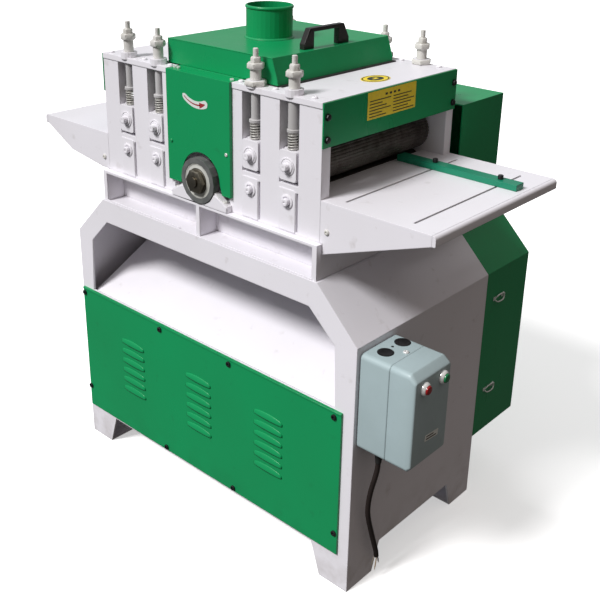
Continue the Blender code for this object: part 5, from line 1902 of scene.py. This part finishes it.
@dataclass
class RearGuards:
    """Belt guard, chain guard, the service door behind them and the latches that close it."""

    latch_places: tuple[Pair, ...] = ((0.2930, 0.5120), (0.2880, 0.2730))
    door_x: Pair = (-0.3550, 0.3550)
    door_z: Pair = (0.2050, 0.5450)
    vents: LouvreField = LouvreField(((-0.290, -0.208), (-0.041, 0.041), (0.208, 0.290)), 0.300)
    leaf: float = 0.0018
    hinge_z: Pair = (0.2650, 0.4850)
    knob_z: float = 0.3750
    back_screws_at: tuple[Pair, ...] = ((-0.420, 0.180), (-0.420, 0.550), (0.420, 0.180), (0.420, 0.550))
    chain_inset: float = 0.018

    def build(self, shop: Workshop) -> None:
        """Dresses the guards and adds the door, vents, latches and screws."""
        shop.dress(GREEN, "belt_guard", "chain_guard")
        guard = shop.span("belt_guard")
        plates, wires = Shape(), Shape()
        for y, z in self.latch_places:
            Hasp().add((plates, wires), guard.high.x, y, z)
        # The latches' plates and wires take plated steel whose pale, green-tinged colour is a painted
        # highlight.
        shop.piece("guard_latches", plates, CLASP_WITH_PAINTED_HIGHLIGHT, "zinc_plate", edge=0.0005)
        shop.piece("latch_wires", wires, CLASP_WITH_PAINTED_HIGHLIGHT, "zinc_plate")
        self.door(shop, guard.high.y)
        self.back_screws(shop, guard)

    def door(self, shop: Workshop, face: float) -> None:
        """A shallow door on the back with vents, two hinges and a turn knob."""
        leaf = Shape()
        (hinge_x, free_x), (foot, top) = self.door_x, self.door_z
        outer = face + self.leaf
        leaf.extrude(Axis.Y, rounded((hinge_x, foot), (free_x, top), (0.012,) * 4), face + LIFT, outer)
        shop.piece("service_door", leaf, GREEN, "green_paint", edge=0.0006)
        self.vents.build(shop, "door_vents", outer, 1)
        hinges, knob = Shape(), Shape()
        for z in self.hinge_z:
            hinges.turn(Axis.Z, (hinge_x, face + 0.0052), [(z - 0.028, 0.0046), (z + 0.028, 0.0046)], 16)
            low, high = (hinge_x - 0.022, face + LIFT, z - 0.024), (hinge_x - 0.002, face + 0.0022, z + 0.024)
            hinges.block(low, high)
        shop.piece("door_hinges", hinges, BRIGHT_PLATE, "zinc_plate", edge=0.0004)
        steps = ((0.0018, 0.0080), (0.0060, 0.0080), (0.0062, 0.0150), (0.0095, 0.0160))
        steps += ((0.0125, 0.0145), (0.0130, 0.0100))
        profile = [(face + out, radius) for out, radius in steps]
        knob.turn(Axis.Y, (free_x - 0.030, self.knob_z), profile)
        shop.piece("door_knob", knob, GRIP_BLACK, "black_plastic")

    def back_screws(self, shop: Workshop, guard: Span) -> None:
        """Screws round both guards' backs."""
        screws = Shape()
        for place in self.back_screws_at:
            screws.screw(BACK_SCREW, Axis.Y, place, guard.high.y + LIFT, 1)
        chain, inset = shop.span("chain_guard"), self.chain_inset
        for x in (chain.low.x + inset, 0.0, chain.high.x - inset):
            for z in (chain.low.z + inset, chain.high.z - inset):
                screws.screw(BACK_SCREW, Axis.Y, (x, z), chain.high.y + LIFT, 1)
        shop.piece("guard_back_screws", screws, BRIGHT_PLATE, "zinc_plate")


# ------ starter


@dataclass
class Starter:
    """Grey starter casing with two buttons, knock-out plugs and a label."""

    corner: float = 0.0115
    plug_places: tuple[Pair, ...] = ((0.4735, -0.1900), (0.4735, -0.1350))
    plug: float = 0.0165
    plug_hole: float = 0.0030
    gland_height: float = 0.012
    gland: Pair = (0.4760, -0.1960)
    button_z: float = 0.5370
    stop_y: float = -0.1970
    start_y: float = -0.1370
    bezel: float = 0.0142
    cap: float = 0.0094
    cap_rise: float = 0.0050
    label_at: Pair = (-0.1620, 0.4190)
    label_lean: float = -5.0

    def build(self, shop: Workshop) -> None:
        """Builds the casing, cover, buttons and small fittings."""
        box, cover = shop.span("starter_box"), shop.span("starter_cover")
        self.casing(shop, box)
        self.cover(shop, cover)
        self.seam(shop, box, cover)
        self.push_buttons(shop, cover)
        self.plugs(shop, box)
        self.label(shop, cover)
        self.screws(shop, box)

    def outline(self, span: Span, shrink: float, foot: float) -> list[Pair]:
        """The casing's rounded outline in Y and Z."""
        low = (span.low.y + shrink, foot + shrink)
        high = (span.high.y - shrink, span.high.z - shrink)
        radius = self.corner - shrink
        return rounded(low, high, (radius, radius, radius, radius), 6)

    def casing(self, shop: Workshop, box: Span) -> None:
        """The back half of the casing with its cable gland."""
        back, seam = box.low.x, box.high.x
        foot = box.low.z + self.gland_height
        steps = ((back, 0.0030), (back + 0.0030, 0.0), (seam - 0.0016, 0.0), (seam, 0.0016))
        shape = Shape()
        shape.skin(Axis.X, [(x, self.outline(box, inset, foot)) for x, inset in steps])
        nipple = [(foot + LIFT, 0.0100), (foot - 0.0050, 0.0100), (foot - 0.0056, 0.0088)]
        shape.turn(Axis.Z, self.gland, [*nipple, (box.low.z + 0.0006, 0.0088), (box.low.z, 0.0080)])
        shop.piece("starter_casing", shape, CASING, "grey_casing", replaces=["starter_box"])

    def cover(self, shop: Workshop, cover: Span) -> None:
        """The front half, whose top and foot slope back from its face."""
        steps = (
            (0.0597, 0.0010, 0.0000, 0.0000),
            (0.0587, 0.0000, 0.0000, 0.0000),
            (0.0160, 0.0000, 0.0000, 0.0000),
            (0.0150, 0.0000, 0.0004, 0.0000),
            (0.0135, 0.0000, 0.0016, 0.0000),
            (0.0100, 0.0000, 0.0050, 0.0004),
            (0.0040, 0.0003, 0.0108, 0.0072),
            (0.0015, 0.0012, 0.0134, 0.0102),
            (0.0004, 0.0026, 0.0149, 0.0120),
            (0.0000, 0.0042, 0.0166, 0.0136),
        )
        edges = []
        for back, inset, drop, rise in steps:
            radius = max(self.corner - inset - drop * 0.3, 0.0045)
            low = (cover.low.y + inset, cover.low.z + rise)
            high = (cover.high.y - inset, cover.high.z - drop)
            edges.append((cover.high.x - back, rounded(low, high, (radius,) * 4, 6)))
        shape = Shape()
        shape.skin(Axis.X, edges)
        shop.piece("starter_front", shape, CASING, "grey_casing", replaces=["starter_cover"], smooth=42.0)

    def seam(self, shop: Workshop, box: Span, cover: Span) -> None:
        """Dark gasket between the two halves."""
        outline = self.outline(box, 0.0012, box.low.z + self.gland_height)
        shape = Shape()
        shape.extrude(Axis.X, outline, box.high.x - 0.0008, cover.low.x + 0.0008)
        shop.piece("starter_gasket", shape, RUBBER, "black_plastic")

    def push_buttons(self, shop: Workshop, cover: Span) -> None:
        """Domed chrome bezels, whose pale colour is partly a painted reflection, and the two coloured
        buttons.
        """
        face, bezel, cap = cover.high.x, self.bezel, self.cap
        rim = ((-0.0040, bezel), (0.0012, bezel), (0.0042, bezel - 0.0010), (0.0066, bezel - 0.0028))
        rim += ((0.0078, bezel - 0.0042), (0.0074, cap + 0.0004), (-0.0040, cap + 0.0004))
        crown = ((0.0026, cap), (0.0011, cap - 0.0006), (0.0003, cap - 0.0020))
        crown += ((0.0, 0.0052), (0.0001, 0.0020))
        bezels = Shape()
        for name, y, finish in (("stop", self.stop_y, RED_CAP), ("start", self.start_y, GREEN_CAP)):
            node = f"{name}_button"
            place = (y, self.button_z)
            bezels.turn(Axis.X, place, [(face + out, radius) for out, radius in rim], 40, ring=True)
            span = shop.span(node)
            tip = span.high.x + self.cap_rise
            profile = [(span.low.x, cap), *((tip - back, radius) for back, radius in crown)]
            dome = Shape()
            dome.turn(Axis.X, place, profile, 32)
            slot = "red_button" if finish is RED_CAP else "green_button"
            shop.piece(f"{node}_cap", dome, finish, slot, node, smooth=60.0, replaces=[node])
        shop.piece("button_bezels", bezels, CHROME_WITH_PAINTED_REFLECTION, "zinc_plate", smooth=60.0)

    def plugs(self, shop: Workshop, box: Span) -> None:
        """Black knock-out plugs on the casing's top and a small hole between them."""
        top = box.high.z
        plugs = Shape()
        for place in self.plug_places:
            profile = [(top + LIFT, self.plug), (top + 0.0006, self.plug), (top + 0.0010, self.plug - 0.0010)]
            profile += [(top + 0.0008, self.plug - 0.0030), (top + 0.0005, self.plug - 0.0040)]
            plugs.turn(Axis.Z, place, profile, 40)
        near, far = self.plug_places
        hole = [(top + LIFT, self.plug_hole), (top + 0.0005, self.plug_hole - 0.0004)]
        plugs.turn(Axis.Z, (near[0] - 0.004, (near[1] + far[1]) / 2), hole, 20)
        shop.piece("casing_plugs", plugs, DARK_BOLT, "black_plastic")

    def label(self, shop: Workshop, cover: Span) -> None:
        """A small grey plate that sits slightly askew, with plain bars."""
        face = cover.high.x
        y, z = self.label_at
        lean = math.radians(self.label_lean)

        def plate(low: Pair, high: Pair) -> list[Pair]:
            """A rectangle round the label's centre, turned by its lean."""
            corners = (low, (high[0], low[1]), high, (low[0], high[1]))
            turned = []
            for u, v in corners:
                along = u * math.cos(lean) - v * math.sin(lean)
                turned.append((y + along, z + u * math.sin(lean) + v * math.cos(lean)))
            return turned

        base = Shape()
        base.extrude(Axis.X, plate((-0.0225, -0.0070), (0.0225, 0.0070)), face + LIFT, face + 0.0005)
        shop.piece("starter_label", base, GREY_PRINT, "grey_casing")
        bars = Shape()
        for row, (low, high) in enumerate(((-0.0180, 0.0060), (-0.0180, 0.0160))):
            v = 0.0028 - row * 0.0056
            bars.extrude(Axis.X, plate((low, v - 0.0012), (high, v + 0.0012)), face + 0.00055, face + 0.0007)
        shop.piece("label_bars", bars, DARK_PRINT, "black_plastic")

    def screws(self, shop: Workshop, box: Span) -> None:
        """A bright earth screw on top, near the seam; its brightness is partly a painted reflection."""
        bright = Shape()
        place = (box.high.x - 0.0100, box.mid.y + 0.0060)
        bright.screw(EARTH_SCREW, Axis.Z, place, box.high.z + LIFT, 1)
        shop.piece("casing_screws", bright, CHROME_WITH_PAINTED_REFLECTION, "zinc_plate")


# ------ main


def main() -> None:
    """Builds the machine's finished look in order and stages it."""
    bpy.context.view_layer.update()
    studio = Studio()
    studio.camera()
    shop = Workshop()
    SupplyCord().build(shop)
    groups = (
        Cabinet(),
        Beam(),
        SideHead(),
        PressureGear(),
        FeedRollers(),
        ArborGroup(),
        Tables(),
        DustHood(),
        Drive(),
        RearGuards(),
        Starter(),
    )
    for group in groups:
        group.build(shop)
        LOG.info("built %s", type(group).__name__)
    studio.floor()
    studio.lights()


if __name__ == "__main__":
    main()
